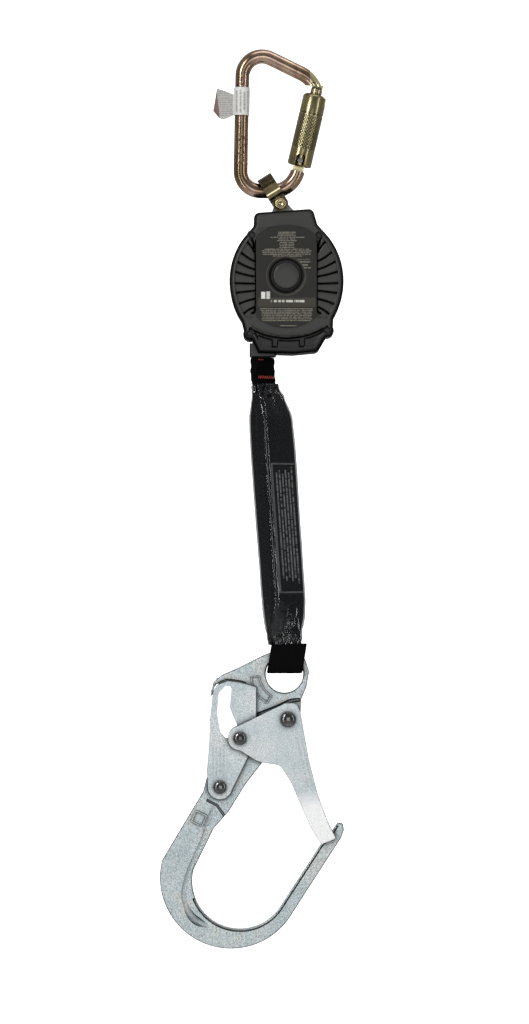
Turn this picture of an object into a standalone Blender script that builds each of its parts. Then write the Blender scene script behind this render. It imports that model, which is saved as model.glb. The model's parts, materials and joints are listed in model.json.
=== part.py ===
"""Self retracting lifeline: carabiner, housing with its webbing drum, shock pack and rebar hook.

Metres, +Z up, hanging as it is used. The origin is where the carabiner bears on its anchor:
the inner top of its bow. +X runs from the carabiner's spine to its gate, and the front is -Y.
"""

import math

import bmesh
import bpy
from mathutils import Matrix, Vector

GAP = 0.0003  # between pieces that touch
RUNNING_GAP = 0.00015  # round a pin in its hole

# Carabiner: a round rod bent into a D, in the plane y = 0
ROD_RADIUS = 0.0056
BOW_CENTRE = (0.0, -0.0096)
BOW_RADIUS = 0.0150
SPINE_FOOT_CENTRE = (-0.0010, -0.0830)
SPINE_FOOT_RADIUS = 0.0154
HINGE_BEND_CENTRE = (0.0080, -0.0784)
HINGE_BEND_RADIUS = 0.0200
NOSE_BEND_CENTRE = (0.0209, -0.0276)
NOSE_BEND_RADIUS = 0.0220
ARM_SLOPE = math.radians(26)
NOSE_SLOPE = math.radians(73)

# Carabiner gate: along a line from its hinge, leaning towards the nose
GATE_HINGE = (0.0294, -0.0750)
GATE_LEAN = math.radians(13.2)
STEM_RADIUS = 0.0050
STEM_TOP = 0.0570
TONGUE_HALF = 0.0018
FORK_HALF = 0.0022
NOSE_FACE = 0.0582
NOSE_PIN_HEIGHT = 0.0556
NOSE_PIN_RADIUS = 0.0009
HINGE_PIN_RADIUS = 0.0018

# Twist-lock sleeve
SLEEVE_RADIUS = 0.0093
SLEEVE_FOOT = -0.0040
SLEEVE_TOP = 0.0521
SLEEVE_BORE = 0.0076
SLEEVE_SKIRT_BORE = 0.0081
SLEEVE_COLLAR = 0.0462

# Captive eye: a strap folded over the rod
EYE_CENTRE = (0.0081, -0.0984)
EYE_TILT = math.radians(32)
STRAP_HALF_WIDTH = 0.0059
STRAP_THICKNESS = 0.0024
EYE_TO_PIN = 0.0118
CLEVIS_PIN_RADIUS = 0.0028
CLEVIS_HEAD_RADIUS = 0.0044
LEG_INNER = 0.0033

# Housing, about the drum's axis
DRUM = (0.0185, -0.1648)
OVAL_CENTRE = (0.0003, -0.0039)
OVAL_HALF = (0.0438, 0.0500)
WALL = 0.0026
COVER_FRONT = -0.0265
COVER_BACK = 0.0275
LUG_RADIUS = 0.0050
SCREW_PLACES = ((-0.0280, -0.0444), (0.0316, -0.0419), (-0.0262, 0.0310), (0.0250, 0.0310))
SCREW_RADIUS = 0.0013
BOSS_RADIUS = 0.0146
CAP_RADIUS = 0.0092

# Frame and drum, along Y
FRONT_PLATE = (-0.0196, -0.0176)
REAR_PLATE = (0.0142, 0.0162)
LUG_HALF = 0.0029
SHAFT_RADIUS = 0.0040
HUB_RADIUS = 0.0140
COIL_RADIUS = 0.0280
FLANGE_RADIUS = 0.0292
WEB_HALF_WIDTH = 0.0120
RATCHET_TEETH = 12
RATCHET_INNER = 0.0308
RATCHET_ROOT = 0.0340
RATCHET_OUTER = 0.0358
PAWL_LAYER = (-0.0172, -0.0142)
PAWL_PIVOT_RADIUS = 0.0210
SPRING_CASE_RADIUS = 0.0310
ARBOR_RADIUS = 0.0070

# Webbing exit and sewn tail
EXIT_CENTRE_X = 0.0006
EXIT_BOTTOM = -0.2263
TAIL_TOP = -0.2267
TAIL_BOTTOM = -0.2462
TAIL_TWIST = math.radians(52)

# Shock pack sections: height, centre x, half width, half depth, twist in degrees
PACK_SECTIONS = (
    (-0.2466, 0.0020, 0.0130, 0.0045, 48),
    (-0.2570, 0.0045, 0.0140, 0.0070, 46),
    (-0.2720, 0.0066, 0.0160, 0.0105, 42),
    (-0.3000, 0.0086, 0.0163, 0.0112, 40),
    (-0.4135, 0.0166, 0.0158, 0.0106, 38),
    (-0.4270, 0.0170, 0.0150, 0.0098, 30),
    (-0.4360, 0.0168, 0.0138, 0.0088, 16),
    (-0.4482, 0.0178, 0.0134, 0.0090, 2),
)
FILM = 0.0004

# Rebar hook, about the centre of its eye
HOOK_EYE = (0.0173, -0.4705)
HOOK_EYE_RADIUS = 0.0144
HOOK_HALF = 0.0050
LOOP_HALF_WIDTH = 0.0136
LOOP_THICKNESS = 0.0024
GATE_PIVOT = (0.0027, -0.0347)
GATE_PIN = (-0.0343, -0.0493)
LEVER_PIVOT = (-0.0497, -0.0870)
GATE_OPENING = math.radians(35)
LEVER_SQUEEZE = math.radians(9)
LEVER_LAYER = (0.0053, 0.0070)
GATE_LAYER = (0.0074, 0.0092)
GATE_RIVET_RADIUS = 0.0032
GATE_PIN_RADIUS = 0.0024
LEVER_RIVET_RADIUS = 0.0028


# Materials

def finish(name, colour, roughness, metallic):
    """A material of one Principled BSDF."""
    material = bpy.data.materials.new(name)
    material.use_nodes = True
    shader = material.node_tree.nodes["Principled BSDF"]
    shader.inputs["Base Color"].default_value = (*colour, 1.0)
    shader.inputs["Roughness"].default_value = roughness
    shader.inputs["Metallic"].default_value = metallic
    return material


def finishes():
    """Every material of the object, by name."""
    return {
        "yellow_zinc": finish("yellow_zinc", (0.36, 0.23, 0.14), 0.28, 1.0),
        "antique_brass": finish("antique_brass", (0.35, 0.30, 0.17), 0.42, 1.0),
        "bright_zinc": finish("bright_zinc", (0.70, 0.74, 0.75), 0.45, 1.0),
        "dark_steel": finish("dark_steel", (0.20, 0.19, 0.18), 0.30, 1.0),
        "plain_steel": finish("plain_steel", (0.55, 0.55, 0.56), 0.35, 1.0),
        "spring_steel": finish("spring_steel", (0.32, 0.33, 0.35), 0.30, 1.0),
        "brass": finish("brass", (0.70, 0.52, 0.24), 0.35, 1.0),
        "bronze": finish("bronze", (0.50, 0.33, 0.18), 0.40, 1.0),
        "aluminium": finish("aluminium", (0.62, 0.63, 0.65), 0.40, 1.0),
        "black_nylon": finish("black_nylon", (0.035, 0.035, 0.032), 0.50, 0.0),
        "label_print": finish("label_print", (0.030, 0.029, 0.026), 0.45, 0.0),
        "black_webbing": finish("black_webbing", (0.012, 0.012, 0.013), 0.85, 0.0),
        "clear_film": finish("clear_film", (0.10, 0.11, 0.13), 0.10, 0.0),
        "white_tag": finish("white_tag", (0.80, 0.79, 0.76), 0.60, 0.0),
    }


# Flat shapes: lists of (x, z) points, anticlockwise as the front view shows them

def arc(centre, radius, start, end, steps):
    """Points on an arc, angles in degrees."""
    angles = [math.radians(start + (end - start) * i / steps) for i in range(steps + 1)]
    return [(centre[0] + radius * math.cos(a), centre[1] + radius * math.sin(a)) for a in angles]


def oval(centre, halves, start, end, steps):
    """Points on an ellipse, angles in degrees."""
    angles = [math.radians(start + (end - start) * i / steps) for i in range(steps + 1)]
    return [(centre[0] + halves[0] * math.cos(a), centre[1] + halves[1] * math.sin(a)) for a in angles]


def rounded(corners, steps=4):
    """A polygon whose corners (x, z, radius) are arcs, or sharp where the radius is 0."""
    points = []
    for i, (x, z, radius) in enumerate(corners):
        here = Vector((x, z))
        if radius == 0:
            points.append((x, z))
            continue
        before = Vector(corners[i - 1][:2]) - here
        after = Vector(corners[(i + 1) % len(corners)][:2]) - here
        half = before.angle(after) / 2
        reach = min(radius / math.tan(half), 0.48 * before.length, 0.48 * after.length)
        radius = reach * math.tan(half)
        middle = here + (before.normalized() + after.normalized()).normalized() * radius / math.sin(half)
        first = here + before.normalized() * reach - middle
        last = here + after.normalized() * reach - middle
        turn = math.atan2(first.x * last.y - first.y * last.x, first.dot(last))
        start = math.atan2(first.y, first.x)
        points += arc(middle, radius, math.degrees(start), math.degrees(start + turn), steps)
    return points


def sharp(points):
    """Plain points as corners with no rounding."""
    return [(x, z, 0.0) for x, z in points]


def moved(points, by):
    """The same points, shifted."""
    return [(x + by[0], z + by[1]) for x, z in points]


def inset(points, distance):
    """The outline drawn in by a distance, corner by corner."""
    out = []
    count = len(points)
    for i in range(count):
        before = Vector(points[i]) - Vector(points[i - 1])
        after = Vector(points[(i + 1) % count]) - Vector(points[i])
        normal = Vector((-before.y, before.x)).normalized() + Vector((-after.y, after.x)).normalized()
        normal.normalize()
        spread = max(0.5, normal.dot(Vector((-before.y, before.x)).normalized()))
        out.append(tuple(Vector(points[i]) + normal * distance / spread))
    return out


def capsule(path, radius, steps=6):
    """The outline of a round-ended slot along a path of two or more points."""
    path = [Vector(p) for p in path]
    sides = []
    for line in (path, path[::-1]):
        for i, point in enumerate(line):
            ahead = line[min(i + 1, len(line) - 1)] - line[max(i - 1, 0)]
            sides.append(tuple(point + Vector((ahead.y, -ahead.x)).normalized() * radius))
        heading = line[-1] - line[-2]
        angle = math.degrees(math.atan2(heading.y, heading.x))
        sides += arc(line[-1], radius, angle - 90, angle + 90, steps)[1:-1]
    return sides


def turned(point, centre, angle):
    """A point turned clockwise, as the front view shows it, about a centre."""
    x, z = point[0] - centre[0], point[1] - centre[1]
    return (
        centre[0] + x * math.cos(angle) + z * math.sin(angle),
        centre[1] - x * math.sin(angle) + z * math.cos(angle),
    )


# Solids

def solid(name, bm, material, pivot=(0.0, 0.0, 0.0)):
    """An object of a bmesh drawn in world space, with its origin at a pivot."""
    bmesh.ops.recalc_face_normals(bm, faces=bm.faces)
    mesh = bpy.data.meshes.new(name)
    bm.to_mesh(mesh)
    bm.free()
    mesh.transform(Matrix.Translation(-Vector(pivot)))
    mesh.shade_smooth()
    mesh.set_sharp_from_angle(angle=math.radians(35))
    obj = bpy.data.objects.new(name, mesh)
    obj.location = pivot
    obj.data.materials.append(material)
    bpy.context.scene.collection.objects.link(obj)
    return obj


def lofted(rings, closed_ring=False):
    """A bmesh skinned over rings of world points, with capped ends or, as a loop, joined up."""
    bm = bmesh.new()
    loops = [[bm.verts.new(p) for p in ring] for ring in rings]
    pairs = list(zip(loops, loops[1:]))
    if closed_ring:
        pairs.append((loops[-1], loops[0]))
    for low, high in pairs:
        count = len(low)
        for i in range(count):
            bm.faces.new((low[i], low[(i + 1) % count], high[(i + 1) % count], high[i]))
    if not closed_ring:
        bm.faces.new(loops[0][::-1])
        bm.faces.new(loops[-1])
    return bm


def plate(outline, front, back):
    """A flat plate in the XZ plane, between two depths."""
    return lofted([[(x, y, z) for x, z in outline] for y in (front, back)])


def turning(profile, centre, axis, steps=20, first=0.0, ring=False):
    """A turned bmesh: profile points are (radius, height along the axis)."""
    axis = Vector(axis).normalized()
    side = axis.orthogonal().normalized() if abs(axis.y) < 0.9 else Vector((1, 0, 0))
    other = axis.cross(side)
    rings = []
    for radius, height in profile:
        points = []
        for i in range(steps):
            a = first + 2 * math.pi * i / steps
            spoke = side * math.cos(a) + other * math.sin(a)
            points.append(Vector(centre) + axis * height + spoke * radius)
        rings.append(points)
    return lofted(rings, ring)


def swept(path, radius, sides, first_up=(0, 1, 0)):
    """A round bar along a path of world points."""
    path = [Vector(p) for p in path]
    rings = []
    up = Vector(first_up)
    for i, point in enumerate(path):
        ahead = (path[min(i + 1, len(path) - 1)] - path[max(i - 1, 0)]).normalized()
        up = (up - ahead * up.dot(ahead)).normalized()
        side = ahead.cross(up)
        angles = [2 * math.pi * k / sides for k in range(sides)]
        rings.append([point + (side * math.cos(a) + up * math.sin(a)) * radius for a in angles])
    return lofted(rings)


def cutter(name, bm):
    """A solid that only cuts or joins others."""
    obj = bpy.data.objects.new(name, bpy.data.meshes.new(name))
    bmesh.ops.recalc_face_normals(bm, faces=bm.faces)
    bm.to_mesh(obj.data)
    bm.free()
    bpy.context.scene.collection.objects.link(obj)
    obj.hide_render = True
    obj.display_type = "WIRE"
    return obj


def change(obj, bm, operation="DIFFERENCE"):
    """Cuts a shape from an object, or joins it on."""
    tool = cutter(f"tool_{obj.name}_{len(obj.modifiers)}", bm)
    modifier = obj.modifiers.new(tool.name, "BOOLEAN")
    modifier.operation = operation
    modifier.solver = "EXACT"
    modifier.object = tool


def box(low, high):
    """An upright box between two corners."""
    return plate([(low[0], low[2]), (high[0], low[2]), (high[0], high[2]), (low[0], high[2])], low[1], high[1])


def rod_y(centre, radius, front, back, steps=12):
    """A plain round bar along Y."""
    return turning([(radius, front), (radius, back)], (centre[0], 0, centre[1]), (0, 1, 0), steps)


def rivet(name, centre, shank, head, under, material, steps=14):
    """A rivet along Y with a domed head at each side, whose undersides are at plus and minus under."""
    rise = 0.45 * head
    profile = [(0.35 * head, -under - rise), (0.80 * head, -under - 0.6 * rise), (head, -under)]
    profile += [(shank, -under), (shank, under)]
    profile += [(head, under), (0.80 * head, under + 0.6 * rise), (0.35 * head, under + rise)]
    place = (centre[0], 0, centre[1])
    return solid(name, turning(profile, place, (0, 1, 0), steps), material, place)


def coil(name, centre, axis, radius, wire, length, turns, material, per_turn=8, sides=4):
    """A helical spring that starts at a centre and runs along an axis."""
    axis = Vector(axis).normalized()
    side = axis.orthogonal().normalized() if abs(axis.y) < 0.9 else Vector((1, 0, 0))
    other = axis.cross(side)
    count = int(turns * per_turn)
    path = []
    for i in range(count + 1):
        a = 2 * math.pi * i / per_turn
        path.append(Vector(centre) + axis * length * i / count + (side * math.cos(a) + other * math.sin(a)) * radius)
    return solid(name, swept(path, wire, sides, axis), material)


# Carabiner

def at(point, depth=0.0):
    """A point of the XZ plane as a world point."""
    return (point[0], depth, point[1])


def rod_path():
    """The rod's centreline from its nose, over the bow and down the spine to the gate hinge."""
    turn = math.degrees(GATE_LEAN)
    nose = arc(NOSE_BEND_CENTRE, NOSE_BEND_RADIUS, 90 - math.degrees(NOSE_SLOPE), 90 - math.degrees(ARM_SLOPE), 6)
    heading = (math.cos(NOSE_SLOPE), -math.sin(NOSE_SLOPE))
    tip = (nose[0][0] + 0.003 * heading[0], nose[0][1] + 0.003 * heading[1])
    bow = arc(BOW_CENTRE, BOW_RADIUS, 90 - math.degrees(ARM_SLOPE), 181, 9)
    foot = arc(SPINE_FOOT_CENTRE, SPINE_FOOT_RADIUS, 181, 270, 7)
    bend = arc(HINGE_BEND_CENTRE, HINGE_BEND_RADIUS, 270, 360 - turn, 7)
    return [tip] + nose + bow + foot + bend + [gate_point(0, -0.002)]


def gate_point(across, along):
    """A point of the gate's own frame: across towards +X, along from the hinge to the nose."""
    lean = (math.sin(GATE_LEAN), math.cos(GATE_LEAN))
    return (
        GATE_HINGE[0] + across * lean[1] + along * lean[0],
        GATE_HINGE[1] - across * lean[0] + along * lean[1],
    )


def gate_axis():
    """The gate's direction, from its hinge to the nose."""
    return (math.sin(GATE_LEAN), 0, math.cos(GATE_LEAN))


def hinge_band(inner, outer, left, right, steps=8):
    """Part of a ring about the gate hinge, between two angles in degrees from the gate's line."""
    line = 90 - math.degrees(GATE_LEAN)
    return arc(GATE_HINGE, outer, line + right, line + left, steps) + arc(
        GATE_HINGE, inner, line + left, line + right, steps
    )


def carabiner_body(look):
    """The bent rod, with a hooked tongue at the nose and a drilled tongue at the hinge."""
    body = solid("carabiner_body", swept([at(p) for p in rod_path()], ROD_RADIUS, 12), look["yellow_zinc"])
    change(body, plate(hinge_band(0.047, NOSE_FACE, 12, -12), -0.008, 0.008))
    nose = [gate_point(-0.0040, 0.0540), gate_point(-0.0030, 0.0532), gate_point(0.0030, 0.0532)]
    nose += [gate_point(0.0042, 0.0545), gate_point(0.0042, 0.0600), gate_point(-0.0040, 0.0600)]
    change(body, plate(nose, -TONGUE_HALF, TONGUE_HALF), "UNION")
    slot = hinge_band(NOSE_PIN_HEIGHT - 0.0012, NOSE_PIN_HEIGHT + 0.0012, 7, -1.4)
    change(body, plate(slot, -0.004, 0.004))
    hinge_end = [gate_point(x, z) for x, z in ((-0.008, -0.0085), (0.008, -0.0085), (0.008, 0.006), (-0.008, 0.006))]
    change(body, plate(hinge_end, -0.008, 0.008))
    tongue = [gate_point(-0.0044, -0.0100), gate_point(0.0044, -0.0100)]
    tongue += [gate_point(x, z) for x, z in arc((0, 0), 0.0044, 0, 180, 10)]
    change(body, plate(tongue, -TONGUE_HALF, TONGUE_HALF), "UNION")
    change(body, rod_y(GATE_HINGE, HINGE_PIN_RADIUS + RUNNING_GAP, -0.004, 0.004))
    return body


def carabiner_gate(look):
    """The gate's stem, forked over the hinge tongue and over the nose tongue."""
    profile = [(0.0040, -0.0046), (STEM_RADIUS, -0.0036), (STEM_RADIUS, 0.0430), (0.0070, 0.0434)]
    profile += [(0.0070, 0.0454), (STEM_RADIUS, 0.0458), (STEM_RADIUS, 0.0560), (0.0040, STEM_TOP)]
    stem = solid("carabiner_gate", turning(profile, at(GATE_HINGE), gate_axis(), 20), look["yellow_zinc"], at(GATE_HINGE))
    for low, high in ((-0.006, 0.0055), (0.0527, 0.060)):
        fork = [gate_point(x, z) for x, z in ((-0.008, low), (0.008, low), (0.008, high), (-0.008, high))]
        change(stem, plate(fork, -FORK_HALF, FORK_HALF))
    change(stem, rod_y(GATE_HINGE, HINGE_PIN_RADIUS + RUNNING_GAP, -0.008, 0.008))
    change(stem, rod_y(gate_point(0, NOSE_PIN_HEIGHT), NOSE_PIN_RADIUS + RUNNING_GAP, -0.008, 0.008, 10))
    bore = turning([(0.0023, 0.004), (0.0023, 0.0200)], at(GATE_HINGE), gate_axis(), 12)
    change(stem, bore)
    return stem


def gate_pins(look):
    """The hinge pin and the nose pin, both across the gate."""
    hinge = rod_y(GATE_HINGE, HINGE_PIN_RADIUS, -0.0049, 0.0049, 14)
    solid("gate_hinge_pin", hinge, look["plain_steel"], at(GATE_HINGE))
    nose = rod_y(gate_point(0, NOSE_PIN_HEIGHT), NOSE_PIN_RADIUS, -0.0046, 0.0046, 10)
    solid("gate_nose_pin", nose, look["plain_steel"], at(GATE_HINGE))


def gate_springs(look):
    """The gate's return spring in its bore, and the sleeve's torsion spring round the stem."""
    start = at(gate_point(0, 0.0062))
    coil("gate_return_spring", start, gate_axis(), 0.0015, 0.0004, 0.0130, 5, look["spring_steel"], 6, 3)
    start = at(gate_point(0, 0.0095))
    coil("sleeve_spring", start, gate_axis(), 0.0063, 0.0006, 0.0320, 5, look["spring_steel"])


def locking_sleeve(look):
    """The twist-lock barrel: a collar at its top, and a skirt notched at front and back over the hinge."""
    profile = [(SLEEVE_RADIUS - 0.0008, SLEEVE_FOOT), (SLEEVE_RADIUS, SLEEVE_FOOT + 0.0008)]
    profile += [(SLEEVE_RADIUS, SLEEVE_TOP - 0.0015), (SLEEVE_RADIUS - 0.0014, SLEEVE_TOP)]
    profile += [(0.0054, SLEEVE_TOP), (0.0054, SLEEVE_COLLAR), (SLEEVE_BORE, SLEEVE_COLLAR - 0.0002)]
    profile += [(SLEEVE_BORE, 0.0080), (SLEEVE_SKIRT_BORE, 0.0076), (SLEEVE_SKIRT_BORE, SLEEVE_FOOT)]
    bm = turning(profile, at(GATE_HINGE), gate_axis(), 20, ring=True)
    sleeve = solid("locking_sleeve", bm, look["antique_brass"], at(GATE_HINGE))
    corners = ((-0.0034, -0.006), (0.0034, -0.006), (0.0034, 0.0045), (-0.0034, 0.0045))
    change(sleeve, plate([gate_point(x, z) for x, z in corners], -0.012, 0.012))
    return sleeve


def inspection_tag(look):
    """A paper tag wrapped round the spine, with a free flag to the left."""
    foot = Vector((-0.0158, 0, -0.0400))
    lean = Vector((0.0004, 0, 0.0215))
    profile = [(0.0062, 0), (0.0062, lean.length), (0.0059, lean.length), (0.0059, 0)]
    tag = solid("inspection_tag", turning(profile, foot, lean, 20, ring=True), look["white_tag"])
    flag = [(-0.0214, -0.0240), (-0.0347, -0.0193), (-0.0377, -0.0370), (-0.0308, -0.0431), (-0.0214, -0.0398)]
    change(tag, plate(flag, -0.0002, 0.0002), "UNION")
    return tag


# Captive eye

def strap_point(across, along):
    """A point of the strap's frame: across its width, along from the rod to the clevis pin."""
    return (
        EYE_CENTRE[0] + across * math.cos(EYE_TILT) + along * math.sin(EYE_TILT),
        EYE_CENTRE[1] + across * math.sin(EYE_TILT) - along * math.cos(EYE_TILT),
    )


def clevis_place():
    """The axis of the clevis pin."""
    return strap_point(0, EYE_TO_PIN)


def captive_eye(look):
    """A strap folded over the rod, its legs joggled in to the housing's lug and drilled for the pin."""
    end = EYE_TO_PIN + STRAP_HALF_WIDTH
    inner = 0.0062
    outer = inner + STRAP_THICKNESS
    bow = -0.0044
    leg_out = LEG_INNER + STRAP_THICKNESS
    half = [(end, leg_out), (0.0068, leg_out), (0.0040, outer)]
    half += arc((bow, 0), outer, 90, 180, 6)
    back = [(end, LEG_INNER), (0.0077, LEG_INNER), (0.0047, inner)]
    back += arc((bow, 0), inner, 90, 180, 6)
    section = half + [(x, -y) for x, y in half[-2::-1]] + [(x, -y) for x, y in back] + back[-2::-1]
    rings = []
    for across in (-STRAP_HALF_WIDTH, STRAP_HALF_WIDTH):
        rings.append([at(strap_point(across, along), depth) for along, depth in section])
    pivot = at(EYE_CENTRE)
    eye = solid("captive_eye", lofted(rings), look["antique_brass"], pivot)
    bite = [(-0.008, EYE_TO_PIN), (-STRAP_HALF_WIDTH, EYE_TO_PIN)]
    bite += [(-x, EYE_TO_PIN + z) for x, z in arc((0, 0), STRAP_HALF_WIDTH, 0, 180, 12)[1:-1]]
    bite += [(STRAP_HALF_WIDTH, EYE_TO_PIN), (0.008, EYE_TO_PIN), (0.008, 0.0200), (-0.008, 0.0200)]
    change(eye, plate([strap_point(x, z) for x, z in bite], -0.010, 0.010))
    change(eye, rod_y(clevis_place(), CLEVIS_PIN_RADIUS + RUNNING_GAP, -0.010, 0.010, 20))
    return eye


def clevis_pin(look):
    """The riveted pin through the strap's legs and the frame's lug."""
    under = LEG_INNER + STRAP_THICKNESS + GAP
    profile = [(0.0034, -under - 0.0016), (CLEVIS_HEAD_RADIUS, -under - 0.0008), (CLEVIS_HEAD_RADIUS, -under)]
    profile += [(CLEVIS_PIN_RADIUS, -under), (CLEVIS_PIN_RADIUS, under)]
    profile += [(CLEVIS_HEAD_RADIUS, under), (CLEVIS_HEAD_RADIUS, under + 0.0008), (0.0034, under + 0.0016)]
    place = at(clevis_place())
    return solid("clevis_pin", turning(profile, place, (0, 1, 0), 20), look["antique_brass"], place)


# Housing

def cover_outline():
    """The housing's outline about the drum's axis: a top block, an oval body and a foot with two lugs."""
    left_lug, right_lug = SCREW_PLACES[0], SCREW_PLACES[1]
    top = [(0.0205, 0.0516, 0.0045), (-0.0246, 0.0484, 0.0045), (-0.0250, 0.0380, 0.003)]
    left = sharp(oval(OVAL_CENTRE, OVAL_HALF, 134, 218, 9))
    left_foot = sharp(arc(left_lug, LUG_RADIUS, 150, 290, 4))
    foot = [(-0.0236, -0.0545, 0.0), (-0.0215, -0.0592, 0.0), (0.0050, -0.0600, 0.0), (0.0240, -0.0582, 0.0045)]
    right_foot = sharp(arc(right_lug, LUG_RADIUS, -100, 30, 4))
    right = sharp(oval(OVAL_CENTRE, OVAL_HALF, -35, 46, 9))
    return rounded(top + left + left_foot + foot + right_foot + right + [(0.0240, 0.0395, 0.003)], 2)


def cover_shell(name, split, shoulder, face, look):
    """One half of the housing: a cup between the split plane and its outer face."""
    outline = moved(cover_outline(), DRUM)
    way = 1 if face > split else -1
    rim = inset(outline, 0.0010)
    crown = inset(outline, 0.0034)
    hollow = inset(outline, WALL)
    bottom = inset(outline, 0.0042)
    outside = [(outline, split), (outline, shoulder), (rim, face - way * 0.0018), (crown, face)]
    inside = [(bottom, face - way * WALL), (hollow, face - way * 0.0062), (hollow, split - way * 0.001)]
    shell = solid(name, lofted([[(x, y, z) for x, z in points] for points, y in outside]), look["black_nylon"], at(DRUM))
    change(shell, lofted([[(x, y, z) for x, z in points] for points, y in inside]))
    return shell


def open_cover(shell):
    """Cuts the slot for the captive eye, the webbing exit and the screw holes."""
    pin = clevis_place()
    change(shell, box((pin[0] - 0.0085, -0.0095, pin[1] - 0.0125), (pin[0] + 0.0125, 0.0095, pin[1] + 0.020)))
    low = (EXIT_CENTRE_X - 0.0105, -0.0163, EXIT_BOTTOM - 0.010)
    change(shell, box(low, (EXIT_CENTRE_X + 0.0105, 0.0163, EXIT_BOTTOM + 0.0150)))


def screw_place(index):
    """The axis of one housing screw."""
    return (DRUM[0] + SCREW_PLACES[index][0], DRUM[1] + SCREW_PLACES[index][1])


def covers(look):
    """The front and rear covers, with screw posts inside."""
    front = cover_shell("front_cover", -0.00015, -0.0190, COVER_FRONT, look)
    rear = cover_shell("rear_cover", 0.00015, 0.0200, COVER_BACK, look)
    for shell, ends in ((front, (-0.0250, -0.00015)), (rear, (0.00015, 0.0255))):
        for index in range(len(SCREW_PLACES)):
            change(shell, rod_y(screw_place(index), 0.0040, *ends, 8), "UNION")
        open_cover(shell)
    for index in range(len(SCREW_PLACES)):
        change(front, rod_y(screw_place(index), 0.0026, -0.030, 0.002, 8))
        change(rear, rod_y(screw_place(index), SCREW_RADIUS + 0.0003, -0.002, 0.0180, 8))
        change(rear, rod_y(screw_place(index), 0.0031, 0.0178, 0.030, 8))
    change(front, rod_y(DRUM, 0.0102, -0.030, -0.0200, 20))
    ring = [(BOSS_RADIUS, COVER_FRONT + 0.001), (BOSS_RADIUS, COVER_FRONT - 0.0012)]
    ring += [(BOSS_RADIUS - 0.0012, COVER_FRONT - 0.0020), (0.0112, COVER_FRONT - 0.0020), (0.0102, COVER_FRONT - 0.001)]
    ring += [(0.0102, COVER_FRONT + 0.001)]
    change(front, turning(ring, at(DRUM), (0, 1, 0), 20, ring=True), "UNION")


def fasteners(look):
    """Four screws from the rear, each into a brass insert in the front cover."""
    for index in range(len(SCREW_PLACES)):
        place = at(screw_place(index))
        insert = [(0.0024, -0.0240), (0.0024, -0.0100), (SCREW_RADIUS + 0.0002, -0.0100), (SCREW_RADIUS + 0.0002, -0.0240)]
        solid(f"screw_insert_{index + 1}", turning(insert, place, (0, 1, 0), 8, ring=True), look["brass"], place)
        screw = [(SCREW_RADIUS, -0.0150), (SCREW_RADIUS, 0.0181), (0.0027, 0.0181), (0.0027, 0.0196), (0.0018, 0.0206)]
        solid(f"housing_screw_{index + 1}", turning(screw, place, (0, 1, 0), 8), look["dark_steel"], place)


def label_outline():
    """The label's outline: straight sides, an arched head and a round foot."""
    head = arc((0.0002, -0.0010), 0.0395, 62, 118, 6)
    foot = arc((0.0, -0.0055), 0.0345, 228, 312, 6)
    sides = [(-0.0232, 0.0300), (-0.0232, -0.0290)]
    return moved(head + sides + foot + [(0.0234, -0.0290), (0.0234, 0.0300)], DRUM)


def front_label(look):
    """The printed label, with a hole round the boss."""
    label = solid("front_label", plate(label_outline(), COVER_FRONT - 0.0007, COVER_FRONT - GAP), look["label_print"], at(DRUM))
    change(label, rod_y(DRUM, BOSS_RADIUS + 0.0005, -0.030, -0.020, 20))
    return label


def centre_cap(look):
    """The cap over the drum shaft."""
    profile = [(0.0060, -0.0292), (0.0082, -0.0290), (CAP_RADIUS, -0.0280), (CAP_RADIUS, -0.0240), (0.0060, -0.0240)]
    return solid("centre_cap", turning(profile, at(DRUM), (0, 1, 0), 24), look["black_nylon"], at(DRUM))


def exit_guide(look):
    """The nozzle that the webbing leaves through."""
    x, half, depth = EXIT_CENTRE_X, 0.0102, 0.0160
    top = EXIT_BOTTOM + 0.0102

    def ring(half_x, half_y, z):
        corners = rounded([(half_x, half_y, 0.002), (-half_x, half_y, 0.002), (-half_x, -half_y, 0.002), (half_x, -half_y, 0.002)], 2)
        return [(x + px, py, z) for px, py in corners]

    rings = [ring(half, depth, EXIT_BOTTOM), ring(half, depth, top), ring(0.0086, 0.0136, top), ring(0.0086, 0.0136, EXIT_BOTTOM)]
    return solid("exit_guide", lofted(rings, True), look["black_nylon"])


# Load frame, shaft and power spring

def load_frame(look):
    """The steel frame: a lug for the clevis pin, a crossbar, and a plate at each side of the drum."""
    px, pz = clevis_place()
    lug = arc((px, pz), 0.0043, 20, 160, 8)
    lug += [(px - 0.0066, pz - 0.0058), (px - 0.0066, pz - 0.0165), (px + 0.0105, pz - 0.0165), (px + 0.0105, pz - 0.0055)]
    frame = solid("load_frame", plate(lug, -LUG_HALF, LUG_HALF), look["plain_steel"], at(DRUM))
    bar_z = pz - 0.0165
    bar = box((px - 0.0100, FRONT_PLATE[0], bar_z - 0.0030), (px + 0.0140, REAR_PLATE[1], bar_z + 0.0030))
    change(frame, bar, "UNION")
    side = [(DRUM[0] + 0.0125, bar_z + 0.0029), (DRUM[0] - 0.0125, bar_z + 0.0029)]
    side += arc(DRUM, 0.0150, 170, 370, 14)
    for layer in (FRONT_PLATE, REAR_PLATE):
        change(frame, plate(side, *layer), "UNION")
    change(frame, rod_y((px, pz), CLEVIS_PIN_RADIUS + RUNNING_GAP, -0.010, 0.010, 20))
    change(frame, rod_y(DRUM, SHAFT_RADIUS + RUNNING_GAP, -0.022, 0.0, 20))
    change(frame, rod_y(DRUM, ARBOR_RADIUS + 0.0006, 0.0, 0.020, 24))
    return frame


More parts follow.
